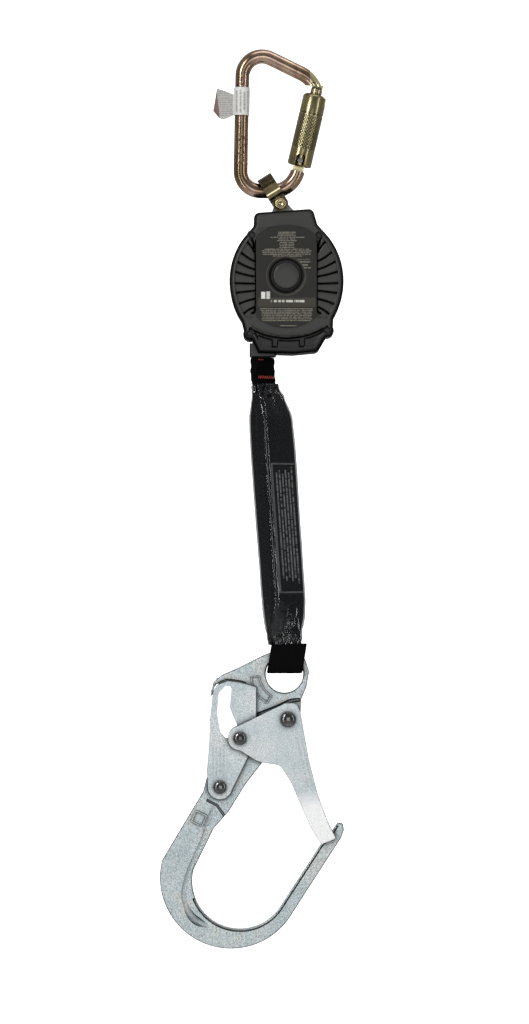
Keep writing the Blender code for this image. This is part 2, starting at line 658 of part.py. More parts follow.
def drum_shaft(look):
    """The fixed shaft with its head in front, and the ring that keeps it at the rear."""
    profile = [(0.0070, -0.0226), (0.0070, FRONT_PLATE[0] - GAP), (SHAFT_RADIUS, FRONT_PLATE[0] - GAP)]
    profile += [(SHAFT_RADIUS, 0.0238), (0.0034, 0.0241)]
    solid("drum_shaft", turning(profile, at(DRUM), (0, 1, 0), 20), look["plain_steel"], at(DRUM))


def ratchet_ring(look):
    """The fixed ring whose inner teeth catch the pawls."""
    pitch = 2 * math.pi / RATCHET_TEETH
    inner = []
    for tooth in range(RATCHET_TEETH):
        start = tooth * pitch
        for radius, share in ((RATCHET_INNER, 0.0), (RATCHET_INNER, 0.22), (RATCHET_ROOT, 0.62), (RATCHET_ROOT, 0.97)):
            a = start + share * pitch
            inner.append((DRUM[0] + radius * math.cos(a), DRUM[1] + radius * math.sin(a)))
    outer = []
    for x, z in inner:
        a = math.atan2(z - DRUM[1], x - DRUM[0])
        outer.append((DRUM[0] + RATCHET_OUTER * math.cos(a), DRUM[1] + RATCHET_OUTER * math.sin(a)))
    front, back = PAWL_LAYER
    rings = [[(x, y, z) for x, z in points] for points, y in ((outer, front), (outer, back), (inner, back), (inner, front))]
    return solid("ratchet_ring", lofted(rings, True), look["dark_steel"], at(DRUM))


def spring_parts(look):
    """The power spring, wound between the drum's arbor and its case, and the case's lid."""
    case = [(SPRING_CASE_RADIUS, 0.0166), (SPRING_CASE_RADIUS, 0.0236), (SPRING_CASE_RADIUS - 0.0012, 0.0236)]
    case += [(SPRING_CASE_RADIUS - 0.0012, 0.0174), (ARBOR_RADIUS + 0.0010, 0.0174), (ARBOR_RADIUS + 0.0010, 0.0166)]
    solid("spring_case", turning(case, at(DRUM), (0, 1, 0), 24, ring=True), look["black_nylon"], at(DRUM))
    lid = [(SPRING_CASE_RADIUS, 0.0240), (SPRING_CASE_RADIUS, 0.0247), (0.0050, 0.0247), (0.0050, 0.0240)]
    solid("spring_lid", turning(lid, at(DRUM), (0, 1, 0), 24, ring=True), look["plain_steel"], at(DRUM))
    turns, per_turn = 5, 14
    first, last = ARBOR_RADIUS + 0.0008, SPRING_CASE_RADIUS - 0.0024
    rings = []
    for i in range(turns * per_turn + 1):
        a = 2 * math.pi * i / per_turn
        r = first + (last - first) * i / (turns * per_turn)
        points = []
        for dr, y in ((0.0, 0.0178), (0.0, 0.0232), (0.0006, 0.0232), (0.0006, 0.0178)):
            points.append((DRUM[0] + (r + dr) * math.cos(a), y, DRUM[1] + (r + dr) * math.sin(a)))
        rings.append(points)
    solid("power_spring", lofted(rings), look["spring_steel"], at(DRUM))


# Drum

def drum_parts(look):
    """The hub with its arbor, its two flanges, its bushings and the wound webbing."""
    hub = [(HUB_RADIUS, -0.0122), (HUB_RADIUS, 0.0122), (ARBOR_RADIUS, 0.0122), (ARBOR_RADIUS, 0.0235)]
    hub += [(0.0053, 0.0235), (0.0053, -0.0122)]
    solid("drum_hub", turning(hub, at(DRUM), (0, 1, 0), 24, ring=True), look["aluminium"], at(DRUM))
    for name, layer in (("drum_flange_front", (-0.0137, -0.0125)), ("drum_flange_rear", (0.0125, 0.0137))):
        inner = 0.0053 if layer[0] < 0 else ARBOR_RADIUS + GAP
        flange = [(FLANGE_RADIUS, layer[0]), (FLANGE_RADIUS, layer[1]), (inner, layer[1]), (inner, layer[0])]
        solid(name, turning(flange, at(DRUM), (0, 1, 0), 24, ring=True), look["aluminium"], at(DRUM))
    for name, span in (("drum_bushing_front", (-0.0135, -0.0030)), ("drum_bushing_rear", (0.0030, 0.0230))):
        bush = [(0.0051, span[0]), (0.0051, span[1]), (SHAFT_RADIUS + RUNNING_GAP, span[1])]
        bush += [(SHAFT_RADIUS + RUNNING_GAP, span[0])]
        solid(name, turning(bush, at(DRUM), (0, 1, 0), 16, ring=True), look["bronze"], at(DRUM))
    coil_profile = [(COIL_RADIUS, -WEB_HALF_WIDTH), (COIL_RADIUS, WEB_HALF_WIDTH)]
    coil_profile += [(HUB_RADIUS + GAP, WEB_HALF_WIDTH), (HUB_RADIUS + GAP, -WEB_HALF_WIDTH)]
    solid("webbing_coil", turning(coil_profile, at(DRUM), (0, 1, 0), 28, ring=True), look["black_webbing"], at(DRUM))


def pawl_pivot(index):
    """The axis of a pawl on the drum: the two are opposite each other."""
    a = math.radians(97) + math.pi * index
    return (DRUM[0] + PAWL_PIVOT_RADIUS * math.cos(a), DRUM[1] + PAWL_PIVOT_RADIUS * math.sin(a))


def pawls(look):
    """Two pawls, each on a pin in the front flange, with a spring that holds it in."""
    for index, letter in enumerate("ab"):
        pivot = pawl_pivot(index)
        turn = math.radians(97) + math.pi * index

        def local(u, v):
            """A point about the pivot: u outwards from the drum's axis, v in the way the drum pays out."""
            return (
                pivot[0] + u * math.cos(turn) - v * math.sin(turn),
                pivot[1] + u * math.sin(turn) + v * math.cos(turn),
            )

        shape = [(0.0034, -0.0060), (0.0040, 0.0), (0.0066, 0.0080), (0.0058, 0.0125), (0.0040, 0.0128)]
        shape += [(0.0000, 0.0075), (-0.0034, 0.0020), (-0.0034, -0.0030), (0.0, -0.0068)]
        body = solid(f"pawl_{letter}", plate([local(u, v) for u, v in shape], *PAWL_LAYER), look["dark_steel"], at(pivot))
        change(body, rod_y(pivot, 0.0015 + RUNNING_GAP, -0.020, -0.012, 12))
        pin = [(0.0015, -0.0173), (0.0015, -0.0140), (0.0026, -0.0140), (0.0026, -0.01375 - 0.0001)]
        solid(f"pawl_pin_{letter}", turning(pin, at(pivot), (0, 1, 0), 12), look["plain_steel"], at(pivot))
        low, high = local(-0.0046, -0.0015), local(-0.0090, -0.0015)
        way = (high[0] - low[0], 0, high[1] - low[1])
        coil(f"pawl_spring_{letter}", at(low, -0.0157), way, 0.0011, 0.0003, 0.0042, 4, look["spring_steel"], 6, 3)


# Webbing and shock pack

def flat_section(x, z, half_width, half_depth, twist, steps=2):
    """A rounded bar section at a height, turned about Z: at 0 its width lies along X."""
    corner = 0.45 * half_depth
    corners = [(half_width, half_depth, corner), (-half_width, half_depth, corner)]
    corners += [(-half_width, -half_depth, corner), (half_width, -half_depth, corner)]
    points = []
    for w, d in rounded(corners, steps):
        points.append((x + w * math.cos(twist) - d * math.sin(twist), w * math.sin(twist) + d * math.cos(twist), z))
    return points


def lifeline_web(look):
    """The free run of webbing from the drum to the sewn tail, turning as it passes the exit."""
    quarter = math.radians(90)
    stations = ((-0.0113, -0.1700, quarter), (-0.0036, -0.2100, quarter), (-0.0012, -0.2200, math.radians(78)))
    stations += ((EXIT_CENTRE_X - 0.0002, -0.2264, TAIL_TWIST),)
    rings = [flat_section(x, z, WEB_HALF_WIDTH - 0.0004, 0.0008, twist, 1) for x, z, twist in stations]
    return solid("lifeline_web", lofted(rings), look["black_webbing"])


def web_tail(look):
    """The lifeline's sewn end, several layers thick."""
    rings = []
    for z, x in ((TAIL_TOP, 0.0004), (-0.2365, 0.0004), (TAIL_BOTTOM, 0.0014)):
        rings.append(flat_section(x, z, 0.0120, 0.0036, TAIL_TWIST, 2))
    return solid("web_tail", lofted(rings), look["black_webbing"])


def pack_rings(shrink, sections):
    """The pack's sections, drawn in by a distance."""
    rings = []
    for z, x, half_width, half_depth, twist in sections:
        rings.append(flat_section(x, z, half_width - shrink, half_depth - shrink, math.radians(twist)))
    return rings


def shock_pack(look):
    """The folded tear webbing, its printed label and the clear cover round both."""
    inner = PACK_SECTIONS[1:6]
    solid("energy_absorber", lofted(pack_rings(FILM + 0.0016, inner)), look["black_webbing"])
    outside = pack_rings(0.0, PACK_SECTIONS)
    inside = pack_rings(FILM, PACK_SECTIONS)
    solid("clear_cover", lofted(outside + inside[::-1], True), look["clear_film"])
    low, high = PACK_SECTIONS[4], PACK_SECTIONS[3]

    def label_point(z, across, depth):
        share = (z - low[0]) / (high[0] - low[0])
        x, twist = low[1] + (high[1] - low[1]) * share, math.radians(low[4] + (high[4] - low[4]) * share)
        front = low[3] + (high[3] - low[3]) * share - FILM - depth
        return (x + across * math.cos(twist) + front * math.sin(twist), across * math.sin(twist) - front * math.cos(twist), z)

    corners = ((-0.4080, -0.0095), (-0.4080, 0.0095), (-0.3080, 0.0095), (-0.3080, -0.0095))
    rings = [[label_point(z, across, depth) for z, across in corners] for depth in (0.0004, 0.0008)]
    solid("pack_label", lofted(rings), look["label_print"])


def web_loop(look):
    """The lower loop of webbing, through the hook's eye."""
    foot, top = HOOK_EYE[1] + 0.0006, -0.4486
    waist = HOOK_EYE[1] + 0.0130
    section = [(0.0087, top), (0.0119, waist)]
    section += [(0.0079 + 0.0040 * math.cos(a), foot + 0.0040 - 0.0040 * math.sin(a)) for a in (0.0, 0.5, 1.05, 1.57)]
    inside = [(0.0063, top), (0.0095, waist), (0.0095, foot + 0.0050), (0.0082, foot + LOOP_THICKNESS)]
    outline = section + [(-y, z) for y, z in section[::-1]] + [(-y, z) for y, z in inside] + inside[::-1]
    rings = []
    for x in (HOOK_EYE[0] - LOOP_HALF_WIDTH, HOOK_EYE[0] + LOOP_HALF_WIDTH):
        rings.append([(x, y, z) for y, z in outline])
    return solid("web_loop", lofted(rings), look["black_webbing"])


# Rebar hook, drawn about the centre of its eye

def hook_place(point):
    """A point of the hook's frame in the XZ plane of the world."""
    return (HOOK_EYE[0] + point[0], HOOK_EYE[1] + point[1])


def hook_outline():
    """The forging: eye, hood over the lever, neck, back, bow and nose arm."""
    corners = [(0.0127, -0.0200, 0.004), (0.0170, -0.0095, 0.004), (0.0190, 0.0020, 0.006)]
    corners += sharp(arc((0, 0), 0.0196, 35, 118, 8))
    corners += [(-0.0173, 0.0139, 0.010), (-0.0343, 0.0054, 0.010), (-0.0481, -0.0008, 0.006)]
    corners += [(-0.0548, -0.0062, 0.004), (-0.0567, -0.0170, 0.0), (-0.0560, -0.0168, 0.0)]
    corners += [(-0.0552, -0.0115, 0.002), (-0.0518, -0.0072, 0.003)]
    corners += sharp(arc(LEVER_PIVOT, 0.0829, 86.5, 76.5, 4))
    corners += [(-0.0302, -0.0100, 0.0), (-0.0302, -0.0560, 0.004), (-0.0500, -0.0690, 0.004)]
    corners += [(-0.0600, -0.0800, 0.003), (-0.0628, -0.0909, 0.0), (-0.0758, -0.1124, 0.020)]
    corners += sharp(arc((-0.0412, -0.1567), 0.0547, 166, 331, 18))
    corners += [(0.0435, -0.1263, 0.0), (0.0458, -0.1201, 0.002), (0.0450, -0.1145, 0.002)]
    corners += [(0.0405, -0.1150, 0.002), (0.0362, -0.1215, 0.003), (0.0281, -0.1309, 0.002)]
    corners += sharp(arc((-0.0343, -0.1594), 0.0368, -33, -194, 14))
    corners += [(-0.0543, -0.1186, 0.010), (-0.0427, -0.1055, 0.006), (-0.0304, -0.0855, 0.0)]
    corners += [(-0.0173, -0.0685, 0.0), (-0.0112, -0.0585, 0.006), (-0.0004, -0.0470, 0.006)]
    return rounded(corners + [(0.0120, -0.0400, 0.006), (0.0125, -0.0293, 0.0)], 2)


def hook_body(look):
    """The forged hook, with its eye, rivet holes and two spring pockets."""
    outline = [hook_place(p) for p in hook_outline()]
    body = solid("hook_body", plate(outline, -HOOK_HALF, HOOK_HALF), look["bright_zinc"], at(HOOK_EYE))
    change(body, rod_y(HOOK_EYE, HOOK_EYE_RADIUS, -0.010, 0.010, 24))
    change(body, rod_y(hook_place(GATE_PIVOT), GATE_RIVET_RADIUS + RUNNING_GAP, -0.010, 0.010))
    change(body, rod_y(hook_place(LEVER_PIVOT), LEVER_RIVET_RADIUS + RUNNING_GAP, -0.010, 0.010))
    for place in (GATE_PIVOT, LEVER_PIVOT):
        change(body, rod_y(hook_place(place), 0.0066, -0.010, -0.0020, 14))
    return body


def hook_springs(look):
    """The torsion springs of the gate and of the lever, in the forging's pockets."""
    for name, place in (("hook_gate_spring", GATE_PIVOT), ("hook_lever_spring", LEVER_PIVOT)):
        coil(name, at(hook_place(place), -0.0028), (0, -1, 0), 0.0051, 0.0005, 0.0015, 1.25, look["spring_steel"], 16, 4)


def gate_outline():
    """One side plate of the hook's gate."""
    end = sharp(arc(GATE_PIN, 0.0093, 115, 270, 9))
    lower = [(-0.0200, -0.0675, 0.020), (-0.0035, -0.0700, 0.006), (0.0050, -0.0832, 0.0), (0.0135, -0.1032, 0.0)]
    lower += [(0.0212, -0.1201, 0.0), (0.0281, -0.1309, 0.0015), (0.0397, -0.1263, 0.0015), (0.0335, -0.1140, 0.0)]
    lower += [(0.0258, -0.0932, 0.0), (0.0189, -0.0662, 0.0), (0.0125, -0.0300, 0.006), (0.0095, -0.0218, 0.005)]
    return rounded(end + lower + [(0.0004, -0.0223, 0.004)], 2)


def hook_gate(look):
    """The gate: a plate at each side of the forging, joined along their outer edge."""
    plates = [hook_place(p) for p in gate_outline()]
    gate = solid("hook_gate", plate(plates, -GATE_LAYER[1], -GATE_LAYER[0]), look["bright_zinc"], at(hook_place(GATE_PIVOT)))
    change(gate, plate(plates, GATE_LAYER[0], GATE_LAYER[1]), "UNION")
    outer = [(0.0151, -0.0450), (0.0189, -0.0662), (0.0258, -0.0932), (0.0307, -0.1065)]
    inner = [(0.0289, -0.1065), (0.0240, -0.0932), (0.0171, -0.0662), (0.0133, -0.0450)]
    back = [hook_place(p) for p in outer + inner]
    change(gate, plate(back, -GATE_LAYER[0] - 0.0010, GATE_LAYER[0] + 0.0010), "UNION")
    change(gate, rod_y(hook_place(GATE_PIVOT), GATE_RIVET_RADIUS + RUNNING_GAP, -0.012, 0.012))
    change(gate, rod_y(hook_place(GATE_PIN), GATE_PIN_RADIUS + RUNNING_GAP, -0.012, 0.012))
    return gate


def lever_outline():
    """One side plate of the lock lever."""
    top = sharp(arc(LEVER_PIVOT, 0.0820, 70, 86, 5))
    left = [(-0.0520, -0.0085, 0.003), (-0.0551, -0.0139, 0.004), (-0.0574, -0.0354, 0.0), (-0.0581, -0.0547, 0.0)]
    left += [(-0.0597, -0.0739, 0.0)]
    foot = sharp(arc(LEVER_PIVOT, 0.0094, 178, 345, 10))
    right = [(-0.0281, -0.0639, 0.004), (-0.0216, -0.0480, 0.006)]
    return rounded(top + left + foot + right, 2)


def pin_track():
    """Where the gate's pin goes in the lever's own frame as the gate opens and the lever follows."""
    track = []
    for step in range(5):
        share = step / 4
        pin = turned(GATE_PIN, GATE_PIVOT, GATE_OPENING * share)
        track.append(turned(pin, LEVER_PIVOT, -LEVER_SQUEEZE * share))
    return track


def lock_lever(look):
    """The squeeze lever: two slotted plates joined along their outer edge."""
    plates = [hook_place(p) for p in lever_outline()]
    pivot = at(hook_place(LEVER_PIVOT))
    lever = solid("lock_lever", plate(plates, -LEVER_LAYER[1], -LEVER_LAYER[0]), look["bright_zinc"], pivot)
    change(lever, plate(plates, LEVER_LAYER[0], LEVER_LAYER[1]), "UNION")
    outer = [(-0.0557, -0.0200), (-0.0574, -0.0354), (-0.0581, -0.0547), (-0.0590, -0.0660)]
    inner = [(-0.0572, -0.0660), (-0.0563, -0.0547), (-0.0556, -0.0354), (-0.0539, -0.0200)]
    change(lever, plate([hook_place(p) for p in outer + inner], -0.0060, 0.0060), "UNION")
    slot = [(-0.0450, -0.0085, 0.003), (-0.0508, -0.0150, 0.006), (-0.0520, -0.0310, 0.010), (-0.0495, -0.0450, 0.006)]
    slot += [(-0.0440, -0.0515, 0.002), (-0.0405, -0.0430, 0.004), (-0.0425, -0.0300, 0.010), (-0.0408, -0.0100, 0.002)]
    change(lever, plate([hook_place(p) for p in rounded(slot, 2)], -0.010, 0.010))
    change(lever, plate(capsule([hook_place(p) for p in pin_track()], GATE_PIN_RADIUS + 0.0005, 4), -0.010, 0.010))
    change(lever, rod_y(hook_place(LEVER_PIVOT), LEVER_RIVET_RADIUS + RUNNING_GAP, -0.012, 0.012))
    return lever


def hook_rivets(look):
    """The domed rivets of the gate, its pin and the lever."""
    over_gate, over_lever = GATE_LAYER[1] + GAP, LEVER_LAYER[1] + GAP
    rivet("hook_gate_rivet", hook_place(GATE_PIVOT), GATE_RIVET_RADIUS, 0.0058, over_gate, look["dark_steel"])
    rivet("hook_gate_pin", hook_place(GATE_PIN), GATE_PIN_RADIUS, 0.0050, over_gate, look["dark_steel"])
    rivet("lever_rivet", hook_place(LEVER_PIVOT), LEVER_RIVET_RADIUS, 0.0049, over_lever, look["dark_steel"])


def main():
    """Clears the scene and builds every piece."""
    for obj in list(bpy.data.objects):
        bpy.data.objects.remove(obj)
    look = finishes()
    for build in (
        carabiner_body, carabiner_gate, gate_pins, gate_springs, locking_sleeve, inspection_tag, captive_eye,
        clevis_pin, covers, fasteners, front_label, centre_cap, exit_guide, load_frame, drum_shaft, ratchet_ring,
        spring_parts, drum_parts, pawls, lifeline_web, web_tail, shock_pack, web_loop, hook_body, hook_springs,
        hook_gate, lock_lever, hook_rivets,
    ):
        build(look)


main()
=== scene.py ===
"""Self retracting lifeline: the look of each visible piece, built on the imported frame.

Metres, +Z up. The origin is the inner top of the carabiner's bow, and the front is -Y.
"""

import json
import math

import bmesh
import bpy
import numpy as np
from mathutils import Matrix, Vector, noise


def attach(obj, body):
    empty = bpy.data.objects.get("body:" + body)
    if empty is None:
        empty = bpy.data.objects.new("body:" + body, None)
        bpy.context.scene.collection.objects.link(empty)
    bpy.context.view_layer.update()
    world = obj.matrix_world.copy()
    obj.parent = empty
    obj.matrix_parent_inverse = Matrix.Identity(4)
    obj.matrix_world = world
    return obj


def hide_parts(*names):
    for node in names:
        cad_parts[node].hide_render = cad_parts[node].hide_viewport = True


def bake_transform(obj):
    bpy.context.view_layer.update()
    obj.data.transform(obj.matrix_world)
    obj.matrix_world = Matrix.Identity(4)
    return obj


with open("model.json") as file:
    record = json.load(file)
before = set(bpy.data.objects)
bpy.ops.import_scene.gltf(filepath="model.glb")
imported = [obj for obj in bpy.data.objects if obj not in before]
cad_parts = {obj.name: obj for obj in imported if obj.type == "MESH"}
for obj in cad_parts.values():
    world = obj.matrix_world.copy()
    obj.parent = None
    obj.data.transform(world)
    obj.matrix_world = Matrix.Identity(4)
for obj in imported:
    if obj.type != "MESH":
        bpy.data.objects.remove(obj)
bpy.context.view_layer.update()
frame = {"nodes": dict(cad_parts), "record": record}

# Places and sizes that the frame was drawn with
ROD_RADIUS = 0.0056
GATE_HINGE = (0.0294, -0.0750)
GATE_LEAN = math.radians(13.2)
GATE_AXIS = (math.sin(GATE_LEAN), 0, math.cos(GATE_LEAN))
NOSE_FACE = 0.0582
NOSE_PIN_HEIGHT = 0.0556
HINGE_BORE = 0.00195
SLEEVE_RADIUS = 0.0093
KNURL_TURNS, KNURL_RISE, KNURL_DEPTH = 12.0, 0.0026, 0.00014
KNURL_LOW, KNURL_HIGH = 0.0092, 0.0358
EYE_CENTRE = (0.0081, -0.0984)
EYE_TILT = math.radians(32)
STRAP_HALF_WIDTH = 0.0059
EYE_TO_PIN = 0.0118
DRUM = (0.0185, -0.1648)
SCREW_PLACES = ((-0.0280, -0.0444), (0.0316, -0.0419), (-0.0262, 0.0310), (0.0250, 0.0310))
COVER_FRONT = -0.0265
COVER_BACK = 0.0275
EXIT = (0.0006, -0.2263)
TAIL_TWIST = math.radians(52)
HOOK_EYE = (0.0173, -0.4705)
GATE_PIVOT = (0.0027, -0.0347)
GATE_PIN = (-0.0343, -0.0493)
LEVER_PIVOT = (-0.0497, -0.0870)
BOW_CENTRE = (-0.0343, -0.1594)
HOOK_FACE, PAD_FACE = 0.0050, 0.0058
GATE_OPEN, LEVER_SQUEEZE = math.radians(35), math.radians(9)
SLOT_HALF_WIDTH = 0.0029
GATE_BORE, LEVER_BORE, PIN_BORE = 0.00335, 0.00295, 0.00255


# Outlines: lists of (x, z) points, anticlockwise in the front view

def arc(centre, radius, start, end, steps):
    """Points on an arc, angles in degrees. A radius may be a pair, for an ellipse."""
    wide, tall = radius if isinstance(radius, tuple) else (radius, radius)
    angles = [math.radians(start + (end - start) * i / steps) for i in range(steps + 1)]
    return [(centre[0] + wide * math.cos(a), centre[1] + tall * math.sin(a)) for a in angles]


def rounded(corners, steps=6):
    """A polygon whose corners (x, z, radius) are arcs, or sharp where the radius is 0."""
    points = []
    for i, (x, z, radius) in enumerate(corners):
        here = Vector((x, z))
        if radius == 0:
            points.append((x, z))
            continue
        before = Vector(corners[i - 1][:2]) - here
        after = Vector(corners[(i + 1) % len(corners)][:2]) - here
        half = before.angle(after) / 2
        reach = min(radius / math.tan(half), 0.48 * before.length, 0.48 * after.length)
        radius = reach * math.tan(half)
        inward = (before.normalized() + after.normalized()).normalized()
        middle = here + inward * radius / math.sin(half)
        first = here + before.normalized() * reach - middle
        last = here + after.normalized() * reach - middle
        turn = math.atan2(first.x * last.y - first.y * last.x, first.dot(last))
        start = math.atan2(first.y, first.x)
        points += arc(middle, radius, math.degrees(start), math.degrees(start + turn), steps)
    return points


def oblong(half_width, half_height, corner, steps):
    """A rounded rectangle about the origin."""
    w, h = half_width, half_height
    return rounded([(w, h, corner), (-w, h, corner), (-w, -h, corner), (w, -h, corner)], steps)


def sharp(points):
    """Plain points as corners with no rounding."""
    return [(x, z, 0.0) for x, z in points]


def moved(points, by):
    """The same points, shifted."""
    return [(x + by[0], z + by[1]) for x, z in points]


def inset(points, distance):
    """The outline drawn in by a distance, corner by corner."""
    out = []
    for i in range(len(points)):
        before = Vector(points[i]) - Vector(points[i - 1])
        after = Vector(points[(i + 1) % len(points)]) - Vector(points[i])
        first = Vector((-before.y, before.x)).normalized()
        normal = (first + Vector((-after.y, after.x)).normalized()).normalized()
        out.append(tuple(Vector(points[i]) + normal * distance / max(0.5, normal.dot(first))))
    return out


def even(points, count):
    """A closed outline read again at equal steps of its length."""
    loop = np.array(list(points) + [points[0]])
    run = np.concatenate([[0], np.cumsum(np.linalg.norm(np.diff(loop, axis=0), axis=1))])
    marks = np.linspace(0, run[-1], count, endpoint=False)
    return np.stack([np.interp(marks, run, loop[:, 0]), np.interp(marks, run, loop[:, 1])], axis=1)


def smooth_path(points, steps):
    """A smooth curve through points of any dimension, with some steps between neighbours."""
    ends = [2 * np.array(points[0]) - np.array(points[1])]
    ends += [np.array(p) for p in points]
    ends.append(2 * ends[-1] - ends[-2])
    out = []
    for a, b, c, d in zip(ends, ends[1:], ends[2:], ends[3:]):
        for k in range(steps):
            t = k / steps
            square, cube = 2 * a - 5 * b + 4 * c - d, 3 * b - a - 3 * c + d
            out.append(0.5 * (2 * b + (c - a) * t + square * t**2 + cube * t**3))
    out.append(ends[-2])
    return out


def at(point, depth=0.0):
    """A point of the XZ plane as a world point."""
    return (point[0], depth, point[1])


def twisted(x, across, depth, twist, z):
    """A point of a level section that is turned about Z: untwisted, its width lies along X."""
    cos, sin = math.cos(twist), math.sin(twist)
    return (x + across * cos - depth * sin, across * sin + depth * cos, z)


# Meshes

def lofted(rings, closed=False):
    """A mesh skinned over rings of points, with capped ends or, as a loop, joined up."""
    rings = np.array(rings, dtype=float)
    count, width = rings.shape[:2]
    index = np.arange(count * width).reshape(count, width)
    faces = []
    for low in range(count if closed else count - 1):
        a, b = index[low], index[(low + 1) % count]
        faces += np.stack([a, np.roll(a, -1), np.roll(b, -1), b], axis=1).tolist()
    if not closed:
        faces += [index[0][::-1].tolist(), index[-1].tolist()]
    mesh = bpy.data.meshes.new("mesh")
    mesh.from_pydata(rings.reshape(-1, 3).tolist(), [], faces)
    return outward(mesh)


def outward(mesh):
    """The same mesh with every face turned outwards."""
    bm = bmesh.new()
    bm.from_mesh(mesh)
    bmesh.ops.recalc_face_normals(bm, faces=bm.faces)
    bm.to_mesh(mesh)
    bm.free()
    return mesh


def plate(outline, front, back):
    """A flat plate in the XZ plane, between two depths."""
    return lofted([[(x, y, z) for x, z in outline] for y in (front, back)])


def soft_plate(outline, front, back, radius, steps=4):
    """A plate whose front and back edges are rounded."""
    half = []
    for i in range(steps + 1):
        a = math.pi / 2 * i / steps
        half.append((radius * (1 - math.sin(a)), radius * (1 - math.cos(a))))
    rings = [[(x, front + y, z) for x, z in inset(outline, d)] for d, y in half]
    rings += [[(x, back - y, z) for x, z in inset(outline, d)] for d, y in half[::-1]]
    return lofted(rings)


def flared_hole(centre, radius, half, flare, steps=64):
    """A cutter for a hole along Y whose two mouths are rounded over."""
    mouth = [
        (radius + flare * (1 - math.sin(a)), half - flare * (1 - math.cos(a)))
        for a in np.linspace(0, math.pi / 2, 5)
    ]
    profile = [(radius + flare, half + 0.002)] + mouth
    return spun([(r, -y) for r, y in profile] + profile[::-1], centre, steps)


def turning(profile, centre, axis, steps=64, closed=False):
    """A turned mesh: profile points are (radius, height along the axis)."""
    axis = Vector(axis).normalized()
    side = axis.orthogonal().normalized() if abs(axis.y) < 0.9 else Vector((1, 0, 0))
    other = axis.cross(side)
    rings = []
    for radius, height in profile:
        spokes = [2 * math.pi * i / steps for i in range(steps)]
        middle = Vector(centre) + axis * height
        rings.append([middle + (side * math.cos(a) + other * math.sin(a)) * radius for a in spokes])
    return lofted(rings, closed)


def swept(path, radii, sides=12, up=(0, 1, 0), closed=False):
    """A round bar along a path of world points, of one radius or one for each point."""
    path = [Vector(p) for p in path]
    radii = radii if isinstance(radii, (list, np.ndarray)) else [radii] * len(path)
    up = Vector(up)
    rings = []
    for i, point in enumerate(path):
        ahead = (path[min(i + 1, len(path) - 1)] - path[max(i - 1, 0)]).normalized()
        up = (up - ahead * up.dot(ahead)).normalized()
        side = ahead.cross(up)
        angles = [2 * math.pi * k / sides for k in range(sides)]
        rings.append([point + (side * math.cos(a) + up * math.sin(a)) * radii[i] for a in angles])
    return lofted(rings, closed)


def spun(profile, centre, steps=64, closed=False, depth=0.0):
    """A mesh turned about a line along Y: profile points are (radius, depth)."""
    return turning(profile, at(centre, depth), (0, 1, 0), steps, closed)


def rod_y(centre, radius, front, back, steps=48):
    """A plain round bar along Y."""
    return spun([(radius, front), (radius, back)], centre, steps)


def box(low, high):
    """An upright box between two corners."""
    outline = [(low[0], low[2]), (high[0], low[2]), (high[0], high[2]), (low[0], high[2])]
    return plate(outline, low[1], high[1])


def merged(*meshes):
    """Several meshes as one."""
    bm = bmesh.new()
    for mesh in meshes:
        bm.from_mesh(mesh)
    mesh = bpy.data.meshes.new("mesh")
    bm.to_mesh(mesh)
    bm.free()
    return mesh


def thing(name, mesh):
    """An object in the scene."""
    obj = bpy.data.objects.new(name, mesh)
    bpy.context.scene.collection.objects.link(obj)
    return obj


def cut(mesh, *tools, operation="DIFFERENCE"):
    """The mesh with other solids cut away, or joined on."""
    obj = thing("work", mesh)
    cutters = [thing("tool", tool) for tool in tools]
    for cutter in cutters:
        modifier = obj.modifiers.new("cut", "BOOLEAN")
        modifier.operation = operation
        modifier.solver = "EXACT"
        modifier.object = cutter
    graph = bpy.context.evaluated_depsgraph_get()
    result = bpy.data.meshes.new_from_object(obj.evaluated_get(graph))
    for used in (obj, *cutters):
        bpy.data.objects.remove(used)
    return result


def piece(name, mesh, look, body, nodes=(), bevel=0.0, angle=35, flat=False):
    """A finished piece that rides on a body and stands for some CAD nodes."""
    mesh.shade_smooth()
    mesh.set_sharp_from_angle(angle=math.radians(angle))
    obj = thing(name, mesh)
    mesh.materials.clear()
    mesh.materials.append(look)
    if bevel:
        modifier = obj.modifiers.new("bevel", "BEVEL")
        modifier.width = bevel
        modifier.segments = 3
        modifier.limit_method = "ANGLE"
        modifier.angle_limit = math.radians(30)
        modifier.harden_normals = True
        modifier.use_clamp_overlap = True
    if flat:
        modifier = obj.modifiers.new("flat_faces", "WEIGHTED_NORMAL")
        modifier.keep_sharp = True
        modifier.weight = 90
    if body:
        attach(obj, body)
    if nodes:
        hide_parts(*nodes)
    return obj


# Materials

